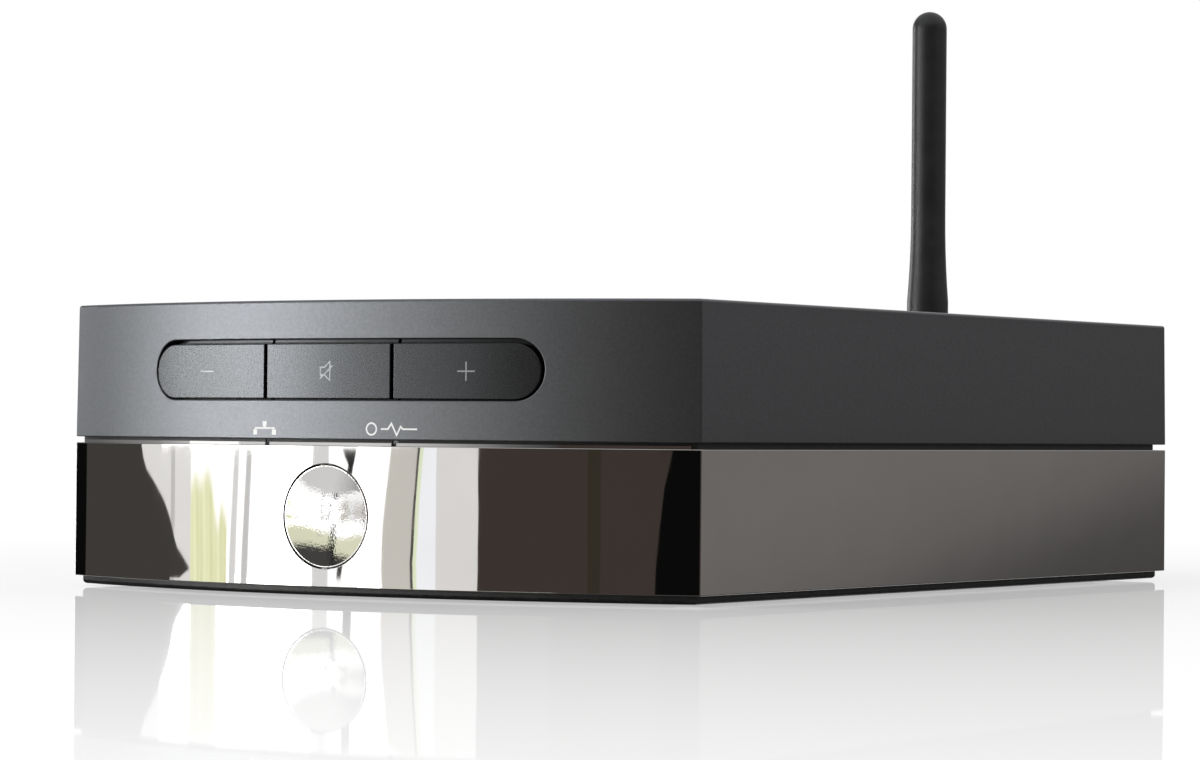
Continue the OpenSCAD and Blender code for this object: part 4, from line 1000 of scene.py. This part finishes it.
# %% plain finishes
finish("black_plastic", (0.014, 0.014, 0.015), (0.022, 0.022, 0.023), 3, (0.38, 0.5), 0.35, 0.006)
finish("black_paint", (0.017, 0.017, 0.018), (0.028, 0.028, 0.029), 1.2, (0.36, 0.5), 0.45, 0.012)
finish("foot_rubber", (0.014, 0.014, 0.014), (0.024, 0.023, 0.022), 2, (0.6, 0.75), 0.3, 0.01)
finish("antenna_rubber", (0.013, 0.0135, 0.0145), (0.02, 0.0205, 0.0215), 4, (0.34, 0.42), 0.4, 0.005)
finish("black_metal", (0.03, 0.03, 0.031), (0.055, 0.055, 0.056), 1.5, (0.3, 0.42), 0.25, 0.004, 0.9)
finish("zinc", (0.52, 0.53, 0.54), (0.66, 0.66, 0.65), 1.5, (0.28, 0.42), 0.2, 0.003, 1.0)
finish("plated_tin", (0.56, 0.56, 0.54), (0.68, 0.68, 0.66), 6, (0.2, 0.36), 1.2, 0.004, 1.0, (6, 1, 1))
finish("gold_plate", (0.62, 0.4, 0.13), (0.74, 0.5, 0.19), 2, (0.16, 0.26), 0.4, 0.002, 1.0)
finish("chip_plastic", (0.02, 0.02, 0.021), (0.034, 0.034, 0.034), 0.8, (0.5, 0.65), 0.15, 0.004)
finish("switch_plastic", (0.13, 0.13, 0.13), (0.17, 0.17, 0.17), 2, (0.42, 0.55), 0.3, 0.004)
finish("diode_white", (0.72, 0.72, 0.66), (0.82, 0.82, 0.76), 0.6, (0.2, 0.3), 0.2, 0.002)
finish("sink_metal", (0.1, 0.1, 0.11), (0.15, 0.15, 0.16), 8, (0.35, 0.5), 0.5, 0.005, 0.9, (1, 12, 1))
finish("capacitor_sleeve", (0.012, 0.016, 0.04), (0.02, 0.026, 0.06), 3, (0.22, 0.34), 0.5, 0.003)
finish("cable_white", (0.86, 0.86, 0.85), (0.92, 0.92, 0.91), 0.8, (0.45, 0.6), 0.2, 0.001)
finish("cable_black", (0.02, 0.02, 0.02), (0.034, 0.034, 0.034), 1.5, (0.4, 0.55), 0.2, 0.003)
finish("jack_red", (0.38, 0.022, 0.018), (0.46, 0.034, 0.026), 2, (0.28, 0.4), 0.3, 0.003)
finish("jack_orange", (0.62, 0.17, 0.014), (0.72, 0.22, 0.022), 2, (0.28, 0.4), 0.3, 0.003)
print("with plain finishes", len(finishes))

# %% [markdown]
# Two finishes need more. A circuit board shows its copper tracks as lighter lines under the green
# lacquer, which a brick pattern draws well enough at this size. The light guides are clear acrylic, so
# they let light through and need a refractive index instead of a colour of their own.

# %% circuit board and clear plastic
TRACK_PITCH = 24 * MM
TRACK_W = 0.012
TRACK_GREEN = (0.04, 0.2, 0.09, 1)
CLEAR_SHARE = 0.85
ACRYLIC_INDEX = 1.49


def board_lacquer():
    made, shader = finish(
        "circuit_board", (0.012, 0.07, 0.03), (0.018, 0.1, 0.045), 4, (0.22, 0.34), 0.4, 0.003
    )
    place = node(made, "TexCoord").outputs["Object"]
    lacquer = shader.inputs["Base Color"].links[0].from_socket
    tracks = node(
        made, "TexBrick", Vector=place, Color1=lacquer, Color2=lacquer, Mortar=TRACK_GREEN,
        Scale=1 / TRACK_PITCH, Mortar_Size=TRACK_W,
    )
    feed(made, shader.inputs["Base Color"], tracks.outputs["Color"])


def clear_acrylic():
    made, shader = finish(
        "clear_plastic", (0.84, 0.88, 0.9), (0.9, 0.93, 0.94), 2, (0.04, 0.09), 0.5, 0.002
    )
    shader.inputs["Transmission Weight"].default_value = CLEAR_SHARE
    shader.inputs["IOR"].default_value = ACRYLIC_INDEX


board_lacquer()
clear_acrylic()
print("with board and acrylic", len(finishes))

# %% [markdown]
# Each solid of the frame takes the finish of its own material slot. So does a new piece, unless a finer
# finish of its own was named for it above.

# %% hand out the finishes
for part in frame["record"]["subparts"]:
    solid = frame["nodes"][part["node"]]
    for place in solid.material_slots:
        place.material = finishes[part["material_slot"]]
for piece, body, solid, slot in new_pieces:
    piece.data.materials.append(finishes[own_finish.get(piece.name, slot)])

# %% [markdown]
# A mirror needs something to mirror. The room is a ring of curved cards two and a half metres away: a
# dark wall with a slanting edge on the left, a bright window with its curtain, garden and posts, and a
# dark wall on the right. The cards show in reflections only, so they light no matt surface and stay out
# of the picture. An azimuth of 0 is straight ahead of the case, and negative ones are on its left.

# %% reflection cards
ROOM_R = 2.5


def round_spot(azimuth, z, r):
    """A place on the ring of cards."""
    a = math.radians(azimuth)
    return Vector((r * math.sin(a), -r * math.cos(a), z))


def bare_material(name):
    """A material whose shader is still to come."""
    made = bpy.data.materials.new(name)
    made.use_nodes = True
    made.node_tree.nodes.remove(made.node_tree.nodes["Principled BSDF"])
    return made


def show(made, shader):
    feed(made, made.node_tree.nodes["Material Output"].inputs["Surface"], shader)


def glow(colour, strength):
    """A plain emission of one colour, or of the colours that a mesh carries if colour is None."""
    made = bare_material("card_glow")
    light = node(made, "Emission", Strength=strength)
    if colour is None:
        carried = node(made, "Attribute")
        carried.attribute_name = "tint"
        feed(made, light.inputs["Color"], carried.outputs["Color"])
    else:
        light.inputs["Color"].default_value = (*colour, 1)
    show(made, light.outputs["Emission"])
    return made


def hang(rows, material):
    """Hangs a card through rows of points; only reflections see it."""
    count = len(rows[0])
    faces = []
    for r in range(len(rows) - 1):
        for c in range(r * count, r * count + count - 1):
            faces.append((c, c + 1, c + count + 1, c + count))
    mesh = bpy.data.meshes.new("card")
    mesh.from_pydata([spot for row in rows for spot in row], [], faces)
    mesh.materials.append(material)
    made = put("card", mesh)
    made.visible_camera = False
    made.visible_diffuse = False
    made.visible_shadow = False
    made.visible_transmission = False
    return made


# %% [markdown]
# An edge that leans or bends is given as a list of azimuths from the card's bottom to its top. A card
# whose tone drifts carries a tint at each of its points, and a helper reads tones from a few stops.

# %% flat and tinted cards
CARD_GAP = 0.02
CARD_STEP = 0.5


def between(stops, value):
    """Reads a row of (place, tone) stops: straight between two of them, level outside."""
    for (a, low), (b, high) in zip(stops, stops[1:]):
        if value < b:
            return low + (high - low) * max(0, (value - a) / (b - a))
    return stops[-1][1]


def mixed(first, second, share):
    """Goes from one colour to another."""
    share = min(1, max(0, share))
    return [a + (b - a) * share for a, b in zip(first, second)]


def card(colour, left, right, low, high, layer=0, strength=1.0):
    """A curved card between two edges, each one azimuth or a list, and two heights."""
    count = max(len(edge) if isinstance(edge, list) else 2 for edge in (left, right))
    left, right = [edge if isinstance(edge, list) else [edge] * count for edge in (left, right)]
    shares = spread(0, 1, CARD_STEP / max(b - a for a, b in zip(left, right)))
    rows = []
    for i in range(count):
        angles = [left[i] + t * (right[i] - left[i]) for t in shares]
        z = low + (high - low) * i / (count - 1)
        rows.append([round_spot(a, z, ROOM_R - layer * CARD_GAP) for a in angles])
    hang(rows, glow(colour, strength))


def shaded(left, right, low, high, steps, colour_at, layer=0):
    """A card whose colour at each point is given by colour_at(azimuth, height)."""
    angles = spread(left, right, steps[0])
    heights = spread(low, high, steps[1])
    r = ROOM_R - layer * CARD_GAP
    made = hang([[round_spot(a, z, r) for a in angles] for z in heights], glow(None, 1.0))
    tints = made.data.color_attributes.new("tint", "FLOAT_COLOR", "POINT")
    spots = [(a, z) for z in heights for a in angles]
    for spot, point in zip(spots, tints.data):
        point.color = (*colour_at(*spot), 1)


# %% [markdown]
# The cards are hung in layers, the backing first and the finer things in front of it. Heights are in
# metres from the table at the cards' distance, so the lower shell sees only a narrow band near zero, and
# the domed button sees everything from the garden's ground to the ceiling. The table's mirror image of
# the shell sees a second band higher up, so the posts and the wall reach up there too. Each row below is
# one card: its colour, left and right edge, lower and upper height, then its layer and its strength.

# %% the window and its walls
WHITE = (1.0, 1.0, 1.0)
BLACK = (0.004, 0.004, 0.004)
DARK_WALL = (0.06, 0.056, 0.052)
BROWN_WALL = (0.056, 0.044, 0.038)
OLIVE = (0.042, 0.036, 0.026)
BEIGE_DIM = (0.7, 0.67, 0.64)
SHADE = (0.11, 0.1, 0.095)

ROOM_LOW = -1.5
BUSHES = -0.65
SIDE_LOW = -0.3
SILL = -0.26
WINDOW_LOW = -0.1
CHROME_LOW = -0.0838
CHROME_HIGH = 0.0167
EYE = 0.02
IMAGE_LOW = 0.085
IMAGE_HIGH = 0.215
SKY_HIGH = 0.25
SIDE_HIGH = 0.3
LINTEL = 0.42
WINDOW_TOP = 0.56
ROOM_HIGH = 1.6
WALL_HIGH = 2.5
LAP = 0.02
BROWN_LAP = 0.03

FADE_STEPS = (1, 1)
CEILING_STEPS = (1, 0.4)
WALL_FADE = -125
WALL_LEFT = -115
WALL_TURN = -81.4
WINDOW_LEFT = -68.2
SKY_LEFT = -64
SKY_TURN = -36
WINDOW_RIGHT = -12.8
BROWN_LEFT = -3
BLACK_LEFT = 10.9
BLACK_RIGHT = 25
BROWN_RIGHT = 60
WALL_EDGE = [-60.1, -58.15, -59.3, -60.6, -61.3, -61.8, -62.4, -63.3, -64.5, -65.8, -67.2, -67.9, -68.2]
BLACK_EDGE = [10.35, 10.5, 10.85, 11.5, 12.6]
WINDOW_TOP_EDGE = [-46.4, -50.5, -55.5]
SKY_BANDS = (
    (SKY_LEFT, -46, 14.0), (-46, SKY_TURN, 8.96), (SKY_TURN, -31, 3.6), (-31, -24, 2.0),
    (-24, WINDOW_RIGHT, 1.1),
)
CEILING_TONES = (
    (WALL_FADE, 1.0), (WALL_LEFT, 0.14), (-80, 0.16), (-67, 0.32), (-56, 0.8), (-30, 0.8), (-22, 0.6),
    (-16, 0.38), (-10, 0.16), (BROWN_LEFT, 0.06),
)
WALLS = (
    (DARK_WALL, WALL_LEFT, WINDOW_LEFT, ROOM_LOW, SKY_HIGH),
    (WHITE, -108, -98, -0.5, 0.6, 1, 7.0),
    (BLACK, -95, WALL_TURN, BUSHES, SKY_HIGH, 2),
    (WHITE, SKY_LEFT, SKY_TURN, SKY_HIGH, LINTEL, 0, 1.5),
    (WHITE, SKY_TURN, WINDOW_RIGHT, SKY_HIGH, LINTEL, 0, 1.2),
    (WHITE, -60, WINDOW_TOP_EDGE, LINTEL, WINDOW_TOP, 1, 1.35),
    (WHITE, WINDOW_LEFT, SKY_TURN, SILL, CHROME_LOW, 0, 4.5),
    (WHITE, SKY_TURN, WINDOW_RIGHT, SILL, CHROME_LOW, 0, 1.5),
    (WHITE, WINDOW_LEFT, WINDOW_RIGHT, CHROME_LOW - LAP, EYE, 0, 1.5),
    (WHITE, -46.9, -37.2, WINDOW_LOW, EYE, 1, 6.0),
    (WHITE, -30, -26.6, WINDOW_LOW, EYE, 1, 4.0),
    (BEIGE_DIM, -22, WINDOW_RIGHT, EYE, IMAGE_LOW, 1),
    (DARK_WALL, WALL_TURN, WALL_EDGE, CHROME_LOW, CHROME_HIGH, 3),
    (DARK_WALL, WALL_TURN, WALL_EDGE, IMAGE_LOW, IMAGE_HIGH, 3),
    (DARK_WALL, WALL_TURN, -62, BUSHES, CHROME_LOW, 2),
    (BROWN_WALL, WINDOW_RIGHT, BROWN_LEFT, CHROME_LOW - BROWN_LAP, EYE + BROWN_LAP, 2),
    (SHADE, WINDOW_RIGHT, BROWN_LEFT, EYE, IMAGE_LOW, 1),
    (SHADE, WINDOW_RIGHT, BROWN_LEFT, IMAGE_LOW, IMAGE_HIGH, 2),
    (SHADE, WINDOW_RIGHT, BROWN_LEFT, IMAGE_HIGH, LINTEL, 1),
    (SHADE, WINDOW_RIGHT, BROWN_LEFT, SILL, CHROME_LOW, 1),
    (BROWN_WALL, BROWN_LEFT, BROWN_RIGHT, -WALL_HIGH, WALL_HIGH, 2),
    (OLIVE, 1.7, 3.4, SIDE_LOW, SIDE_HIGH, 3),
    (BLACK, BLACK_LEFT, BLACK_RIGHT, SIDE_LOW, WINDOW_LOW, 3),
    (BLACK, BLACK_EDGE, BLACK_RIGHT, WINDOW_LOW, EYE, 3),
    (BLACK, BLACK_LEFT, BLACK_RIGHT, EYE, SIDE_HIGH, 3),
)


def ceiling(azimuth, z):
    return [between(CEILING_TONES, azimuth)] * 3


def wall_end(azimuth, z):
    return mixed(WHITE, DARK_WALL, (azimuth - WALL_FADE) / (WALL_LEFT - WALL_FADE))


for wall in WALLS:
    card(*wall)
for left, right, strength in SKY_BANDS:
    card(WHITE, left, right, EYE, SKY_HIGH, strength=strength)
shaded(WALL_FADE, WALL_LEFT, ROOM_LOW, SKY_HIGH, FADE_STEPS, wall_end)
shaded(WALL_FADE, SKY_LEFT, SKY_HIGH, LINTEL, CEILING_STEPS, ceiling)
shaded(WALL_FADE, BROWN_LEFT, LINTEL, ROOM_HIGH, CEILING_STEPS, ceiling)
print("walls", len(WALLS), "sky", len(SKY_BANDS))

# %% [markdown]
# The garden has no sharp edge: streaks of two greens thin out towards their tops, and below them the
# ground begins in ragged patches. Above the window the ceiling ends in a soft fringe. A few sine waves
# that never fall in step are ragged enough for all three.

# %% garden
LEAF_DEEP = (0.9, 0.93, 0.55)
LEAF_PALE = (1.12, 1.14, 0.76)
LEAF_FAR = (0.84, 0.86, 0.66)
GROUND = (0.07, 0.067, 0.066)
JAG_WAVES = ((2.9, 0.45), (7.3, 0.35), (17.0, 0.3))
JAG_SLOPE = 20
STREAK = 0.6
FAR_TONE = 0.1
FAR_STREAK = 0.4
FAR_WAVES = (3, 4)
GROUND_WAVES = (3, 5)
LEAF_SOFT = 0.016
GROUND_SOFT = 0.05
CEILING_SOFT = 0.025
LEAF_SKY = [1.5] * 3
CEILING_SKY = [1.3] * 3
GARDEN_FADE = -72
GARDEN_LEFT = -58.1
IMAGE_RIGHT = -53.2
LEAVES_RIGHT = -51.4
CEILING_LEFT = -46
CEILING_RIGHT = -18.3
CEILING_LOW = 0.31
EDGE_STEPS = (0.3, 0.01)
LEAF_STEPS = (0.08, 0.007)
IMAGE_STEPS = (0.08, 0.02)
FAR_STEPS = (0.3, 0.02)
LEAF_TOPS = (
    (-58.1, -0.016), (-57.4, -0.006), (-56.2, -0.012), (-54.9, -0.002), (-54.0, -0.016), (-53.5, -0.036),
    (-53.0, -0.045), (-52.4, -0.026), (-51.6, -0.038),
)
GARDEN_TOPS = (
    (-48, -0.15), (-38.8, -0.22), (-33.3, -0.32), (-28, -0.42), (-23.7, -0.43), (-17.5, -0.385),
)
GROUND_TOPS = (
    (-53, -0.42), (-45, -0.44), (-38, -0.5), (-32, -0.5), (-30, -0.67), (-25.9, -0.7), (-20, -0.8),
)
BARE_TONES = ((-37, 6.0), (-35, 1.5))
CEILING_LOWS = ((-46, 0.413), (-37.6, 0.363), (-32.7, 0.337), (-23.7, 0.339), (-18.3, 0.42))


def ragged(azimuth, z):
    """A number between about -1 and 1 that changes fast with the azimuth and slowly with the height."""
    return sum(share * math.sin(wave * azimuth + (wave + JAG_SLOPE) * z) for wave, share in JAG_WAVES)


def leaves(azimuth, z):
    green = mixed(LEAF_DEEP, LEAF_PALE, 0.5 + STREAK * ragged(azimuth, z))
    return mixed(green, LEAF_SKY, 0.5 + (z - between(LEAF_TOPS, azimuth)) / LEAF_SOFT)


def leaf_image(azimuth, z):
    return leaves(azimuth, SILL)


def far_garden(azimuth, z):
    streak = ragged(FAR_WAVES[0] * azimuth, FAR_WAVES[1] * z)
    green = mixed(LEAF_FAR, LEAF_PALE, FAR_TONE + FAR_STREAK * streak)
    edge = ragged(GROUND_WAVES[0] * azimuth, GROUND_WAVES[1] * z) * GROUND_SOFT
    bare = (z - between(GARDEN_TOPS, azimuth) - edge) / GROUND_SOFT
    earth = (between(GROUND_TOPS, azimuth) + edge - z) / GROUND_SOFT
    return mixed(mixed(green, [between(BARE_TONES, azimuth)] * 3, bare), GROUND, earth)


def ceiling_edge(azimuth, z):
    share = 0.5 + (z - between(CEILING_LOWS, azimuth)) / CEILING_SOFT + STREAK * ragged(azimuth, z)
    return mixed(CEILING_SKY, ceiling(azimuth, z), share)


shaded(CEILING_LEFT, CEILING_RIGHT, CEILING_LOW, LINTEL, EDGE_STEPS, ceiling_edge, layer=1)
shaded(GARDEN_LEFT, LEAVES_RIGHT, WINDOW_LOW, EYE, LEAF_STEPS, leaves, layer=1)
shaded(GARDEN_LEFT, IMAGE_RIGHT, IMAGE_LOW, IMAGE_HIGH, IMAGE_STEPS, leaf_image, layer=1)
shaded(GARDEN_FADE, GARDEN_LEFT, ROOM_LOW, SILL, FAR_STEPS, far_garden, layer=1)
shaded(GARDEN_LEFT, BROWN_LEFT, ROOM_LOW, WINDOW_LOW, FAR_STEPS, far_garden, layer=1)
print("leaves up to", max(top for place, top in LEAF_TOPS))

# %% [markdown]
# The finer things in the window follow the bends of their mirror images: curtain, the window's frame and
# a post that leans. The frame's middle bar and the post reach from the garden to the ceiling, so the
# domed button mirrors them as upright lines. Beside them stand stripes: a blind, its dark cord, a strip
# of leaves and of sky, and the pale wall of the next room.

# %% things in the window
CURTAIN = (0.95, 0.94, 0.93)
CURTAIN_FOLD = (0.68, 0.67, 0.66)
FRAME_PALE = (0.87, 0.87, 0.87)
FRAME_GREY = (0.72, 0.72, 0.72)
FRAME_DIM = (0.5, 0.5, 0.5)
POST = (0.03, 0.03, 0.03)
POST_LEFT = [-33.2, -33.0, -32.9, -32.7, -32.5, -32.2, -31.9, -31.4, -32.4]
POST_RIGHT = [-32.5, -32.2, -32.1, -31.9, -31.7, -31.4, -31.0, -30.65, -30.25]
TRUNK_LEFT = [-34.6, -33.7, -32.7, -30.7, -29.1]
TRUNK_RIGHT = [-31.8, -30.9, -29.9, -28.9, -28.2]
THINGS = (
    (CURTAIN, -68.3, GARDEN_LEFT, SILL, EYE, 1),
    (CURTAIN_FOLD, -62, -61.2, SILL, EYE, 2),
    (FRAME_PALE, [-51.0, -50.6, -50.0], [-49.85, -49.6, -49.2], WINDOW_LOW, EYE, 2),
    (FRAME_GREY, [-48.9, -48.4, -47.9], [-47.8, -47.45, -47.05], WINDOW_LOW, EYE, 2),
    (FRAME_PALE, -37, -34.5, WINDOW_LOW, IMAGE_HIGH, 3),
    (FRAME_DIM, [-38.3, -37.1], [-37.2, -36.1], -0.35, WINDOW_LOW, 3),
    (FRAME_DIM, [-35.9, -35.1], [-34.8, -34.0], IMAGE_HIGH, 0.36, 3),
    (POST, POST_LEFT, POST_RIGHT, CHROME_LOW, CHROME_HIGH, 3),
    (POST, TRUNK_LEFT, TRUNK_RIGHT, -0.9, -0.13, 3),
    (POST, -32.2, -30.9, CHROME_HIGH + LAP, IMAGE_HIGH, 3),
    (POST, -29.0, -27.4, IMAGE_HIGH + LAP, 0.35, 3),
)
BLIND_LEFT = [-26.1, -26.5, -26.3, -25.7, -25.1]
CORD_LEFT = [-22.0, -22.3, -22.0, -21.6, -21.25]
CORD_RIGHT = [-21.6, -21.9, -21.6, -21.3, -20.9]
LEAF_W = 0.5
LEAF_RIGHT = [a + LEAF_W for a in CORD_RIGHT]
DOOR = -18.6
STRIPES = (
    ((0.72, 0.7, 0.65), BLIND_LEFT, CORD_LEFT, 2),
    ((0.1, 0.09, 0.08), CORD_LEFT, CORD_RIGHT, 3),
    ((0.95, 1.05, 0.75), CORD_RIGHT, LEAF_RIGHT, 2),
    ((1.13, 1.156, 1.205), LEAF_RIGHT, DOOR, 2),
    ((0.892, 0.88, 0.87), DOOR, WINDOW_RIGHT, 2),
)

for thing in THINGS:
    card(*thing)
for low, high in ((WINDOW_LOW, EYE), (IMAGE_LOW, IMAGE_HIGH)):
    for colour, left, right, layer in STRIPES:
        card(colour, left, right, low, high, layer)
print("things", len(THINGS), "stripes", len(STRIPES))

# %% [markdown]
# The right side of the case faces a wall that darkens away from the light, down and to the rear. Such a
# slope of tone can't be one flat colour, so this card is tinted too. The walls end in a fade to white, so
# that the table, which mirrors them as well, shows no hard edge from any side. Two discs close the room
# above and below: without them the rounded edges would mirror a white void.

# %% side wall, ceiling and ground
SIDE_TONES = ((147.0, 0.181), (149.6, 0.167), (151.5, 0.149), (153.2, 0.11), (154.2, 0.087), (156.5, 0.072))
SIDE_TINT = (1.0, 0.955, 0.93)
SIDE_SLANT = 55.0
SIDE_MIDDLE = -0.03
HIGH_WALL = (0.34, 0.33, 0.326)
LOW_WALL = (0.05, 0.048, 0.047)
REAR_WALL = (0.08, 0.077, 0.075)
NEAR_WALL = (0.18, 0.174, 0.17)
OVERHEAD = (0.6, 0.6, 0.6)
UNDERFOOT = (0.06, 0.06, 0.06)
SIDE_FRONT = 110
SIDE_REAR = 170
LOW_REAR = 185
REAR_END = 200
FRONT_FADE = 30
HIGH_FADE = 0.2
SIDE_STEPS = (0.5, 0.015)
HIGH_STEPS = (2, 2.2)
REAR_STEPS = (2, 0.6)
NEAR_STEPS = (2, 0.1)
DISC_HOLE = 0.01
DISC_STEP = 15


def side_tone(azimuth, z):
    """The wall's colour, read from its tones along a slanting line."""
    tone_there = between(SIDE_TONES, azimuth - SIDE_SLANT * (z - SIDE_MIDDLE))
    return [tone_there * share for share in SIDE_TINT]


def rear_fade(colour):
    return lambda a, z: mixed(colour, WHITE, (a - SIDE_REAR) / (REAR_END - SIDE_REAR))


def front_fade(azimuth, z):
    wall = mixed(NEAR_WALL, HIGH_WALL, (z - SIDE_HIGH) / HIGH_FADE)
    return mixed(BROWN_WALL, wall, (azimuth - BROWN_RIGHT) / FRONT_FADE)


def disc(colour, z):
    angles = spread(-180, 180, DISC_STEP)
    hang([[round_spot(a, z, r) for a in angles] for r in (DISC_HOLE, ROOM_R)], glow(colour, 1.0))


shaded(SIDE_FRONT, SIDE_REAR, SIDE_LOW, SIDE_HIGH, SIDE_STEPS, side_tone)
shaded(SIDE_FRONT, REAR_END, SIDE_HIGH, WALL_HIGH, HIGH_STEPS, rear_fade(HIGH_WALL))
shaded(SIDE_REAR, REAR_END, SIDE_LOW, SIDE_HIGH, REAR_STEPS, rear_fade(REAR_WALL))
shaded(BROWN_RIGHT, SIDE_FRONT, -WALL_HIGH, WALL_HIGH, NEAR_STEPS, front_fade)
card(LOW_WALL, SIDE_FRONT, LOW_REAR, -WALL_HIGH, SIDE_LOW)
disc(OVERHEAD, ROOM_HIGH)
disc(UNDERFOOT, ROOM_LOW)

# %% [markdown]
# The floor is a pale glossy table. It takes the object's soft shadow as a matt surface does, and it
# mirrors the object faintly, most where they meet. Its white is lifted for the camera to the same white
# as the background, so no edge of the table shows. Reflections don't see the table, only the room.

# %% floor
FLOOR_HALF = 12.0
FLOOR_PALE = (0.3, 0.3, 0.3, 1)
FLOOR_LIFT = 0.74
FLOOR_GLOSS = 0.02
MIRROR_NEAR = 0.5
MIRROR_FAR = 0.0
MIRROR_START = 0.15
MIRROR_END = 0.75


def joined(made, kind, first, second, **inputs):
    """Two shaders added or mixed; they are the last two sockets of such a node."""
    both = node(made, kind, **inputs)
    feed(made, both.inputs[-2], first)
    feed(made, both.inputs[-1], second)
    return both.outputs["Shader"]


def table_finish():
    made = bare_material("table_top")
    path = node(made, "LightPath").outputs["Is Camera Ray"]
    lift = node(made, "MapRange", Value=path, To_Min=0.0, To_Max=FLOOR_LIFT).outputs["Result"]
    white = node(made, "Emission", Strength=lift).outputs["Emission"]
    matt = node(made, "BsdfDiffuse", Color=FLOOR_PALE).outputs["BSDF"]
    mirror = node(made, "BsdfGlossy", Roughness=FLOOR_GLOSS).outputs["BSDF"]
    reach = node(made, "VectorMath", Vector=node(made, "TexCoord").outputs["Object"])
    reach.operation = "LENGTH"
    share = node(
        made, "MapRange", Value=reach.outputs["Value"], From_Min=MIRROR_START, From_Max=MIRROR_END,
        To_Min=MIRROR_NEAR, To_Max=MIRROR_FAR,
    ).outputs["Result"]
    pale = joined(made, "AddShader", white, matt)
    show(made, joined(made, "MixShader", pale, mirror, Fac=share))
    return made


def table_top():
    mesh = bpy.data.meshes.new("floor")
    corners = ((-1, -1), (1, -1), (1, 1), (-1, 1))
    mesh.from_pydata([(x * FLOOR_HALF, y * FLOOR_HALF, 0) for x, y in corners], [], [(0, 1, 2, 3)])
    mesh.materials.append(table_finish())
    floor = put("floor", mesh)
    floor.visible_glossy = False


table_top()
print("floor", 2 * FLOOR_HALF, "metres wide")

# %% [markdown]
# The world is white for the camera, for mirrors and for clear plastic, and a plain soft light for matt
# surfaces. One broad lamp from the front left gives them a direction.

# %% world and lamp
PLAIN_LEVEL = 0.9
LAMP_PLACE = Vector((-0.9, -1.3, 1.5))
LAMP_SIZE = 1.2
LAMP_POWER = 22.0

world = bpy.data.worlds.new("studio")
scene.world = world
world.use_nodes = True
background = world.node_tree.nodes["Background"]
background.inputs["Color"].default_value = (1, 1, 1, 1)
rays = node(world, "LightPath").outputs
shown = rays["Is Camera Ray"]
for kind in ("Is Glossy Ray", "Is Transmission Ray"):
    either = node(world, "Math")
    either.operation = "MAXIMUM"
    feed(world, either.inputs[0], shown)
    feed(world, either.inputs[1], rays[kind])
    shown = either.outputs["Value"]
level = node(world, "MapRange", Value=shown, To_Min=PLAIN_LEVEL, To_Max=1.0)
feed(world, background.inputs["Strength"], level.outputs["Result"])

lamp_data = bpy.data.lights.new("soft_lamp", "AREA")
lamp_data.size = LAMP_SIZE
lamp_data.energy = LAMP_POWER
lamp = put("soft_lamp", lamp_data)
lamp.location = LAMP_PLACE
lamp.rotation_mode = "QUATERNION"
lamp.rotation_quaternion = (-LAMP_PLACE).to_track_quat("-Z", "Y")
lamp.visible_glossy = False
scene.view_settings.view_transform = "Standard"
print("world", PLAIN_LEVEL, "lamp", LAMP_POWER)
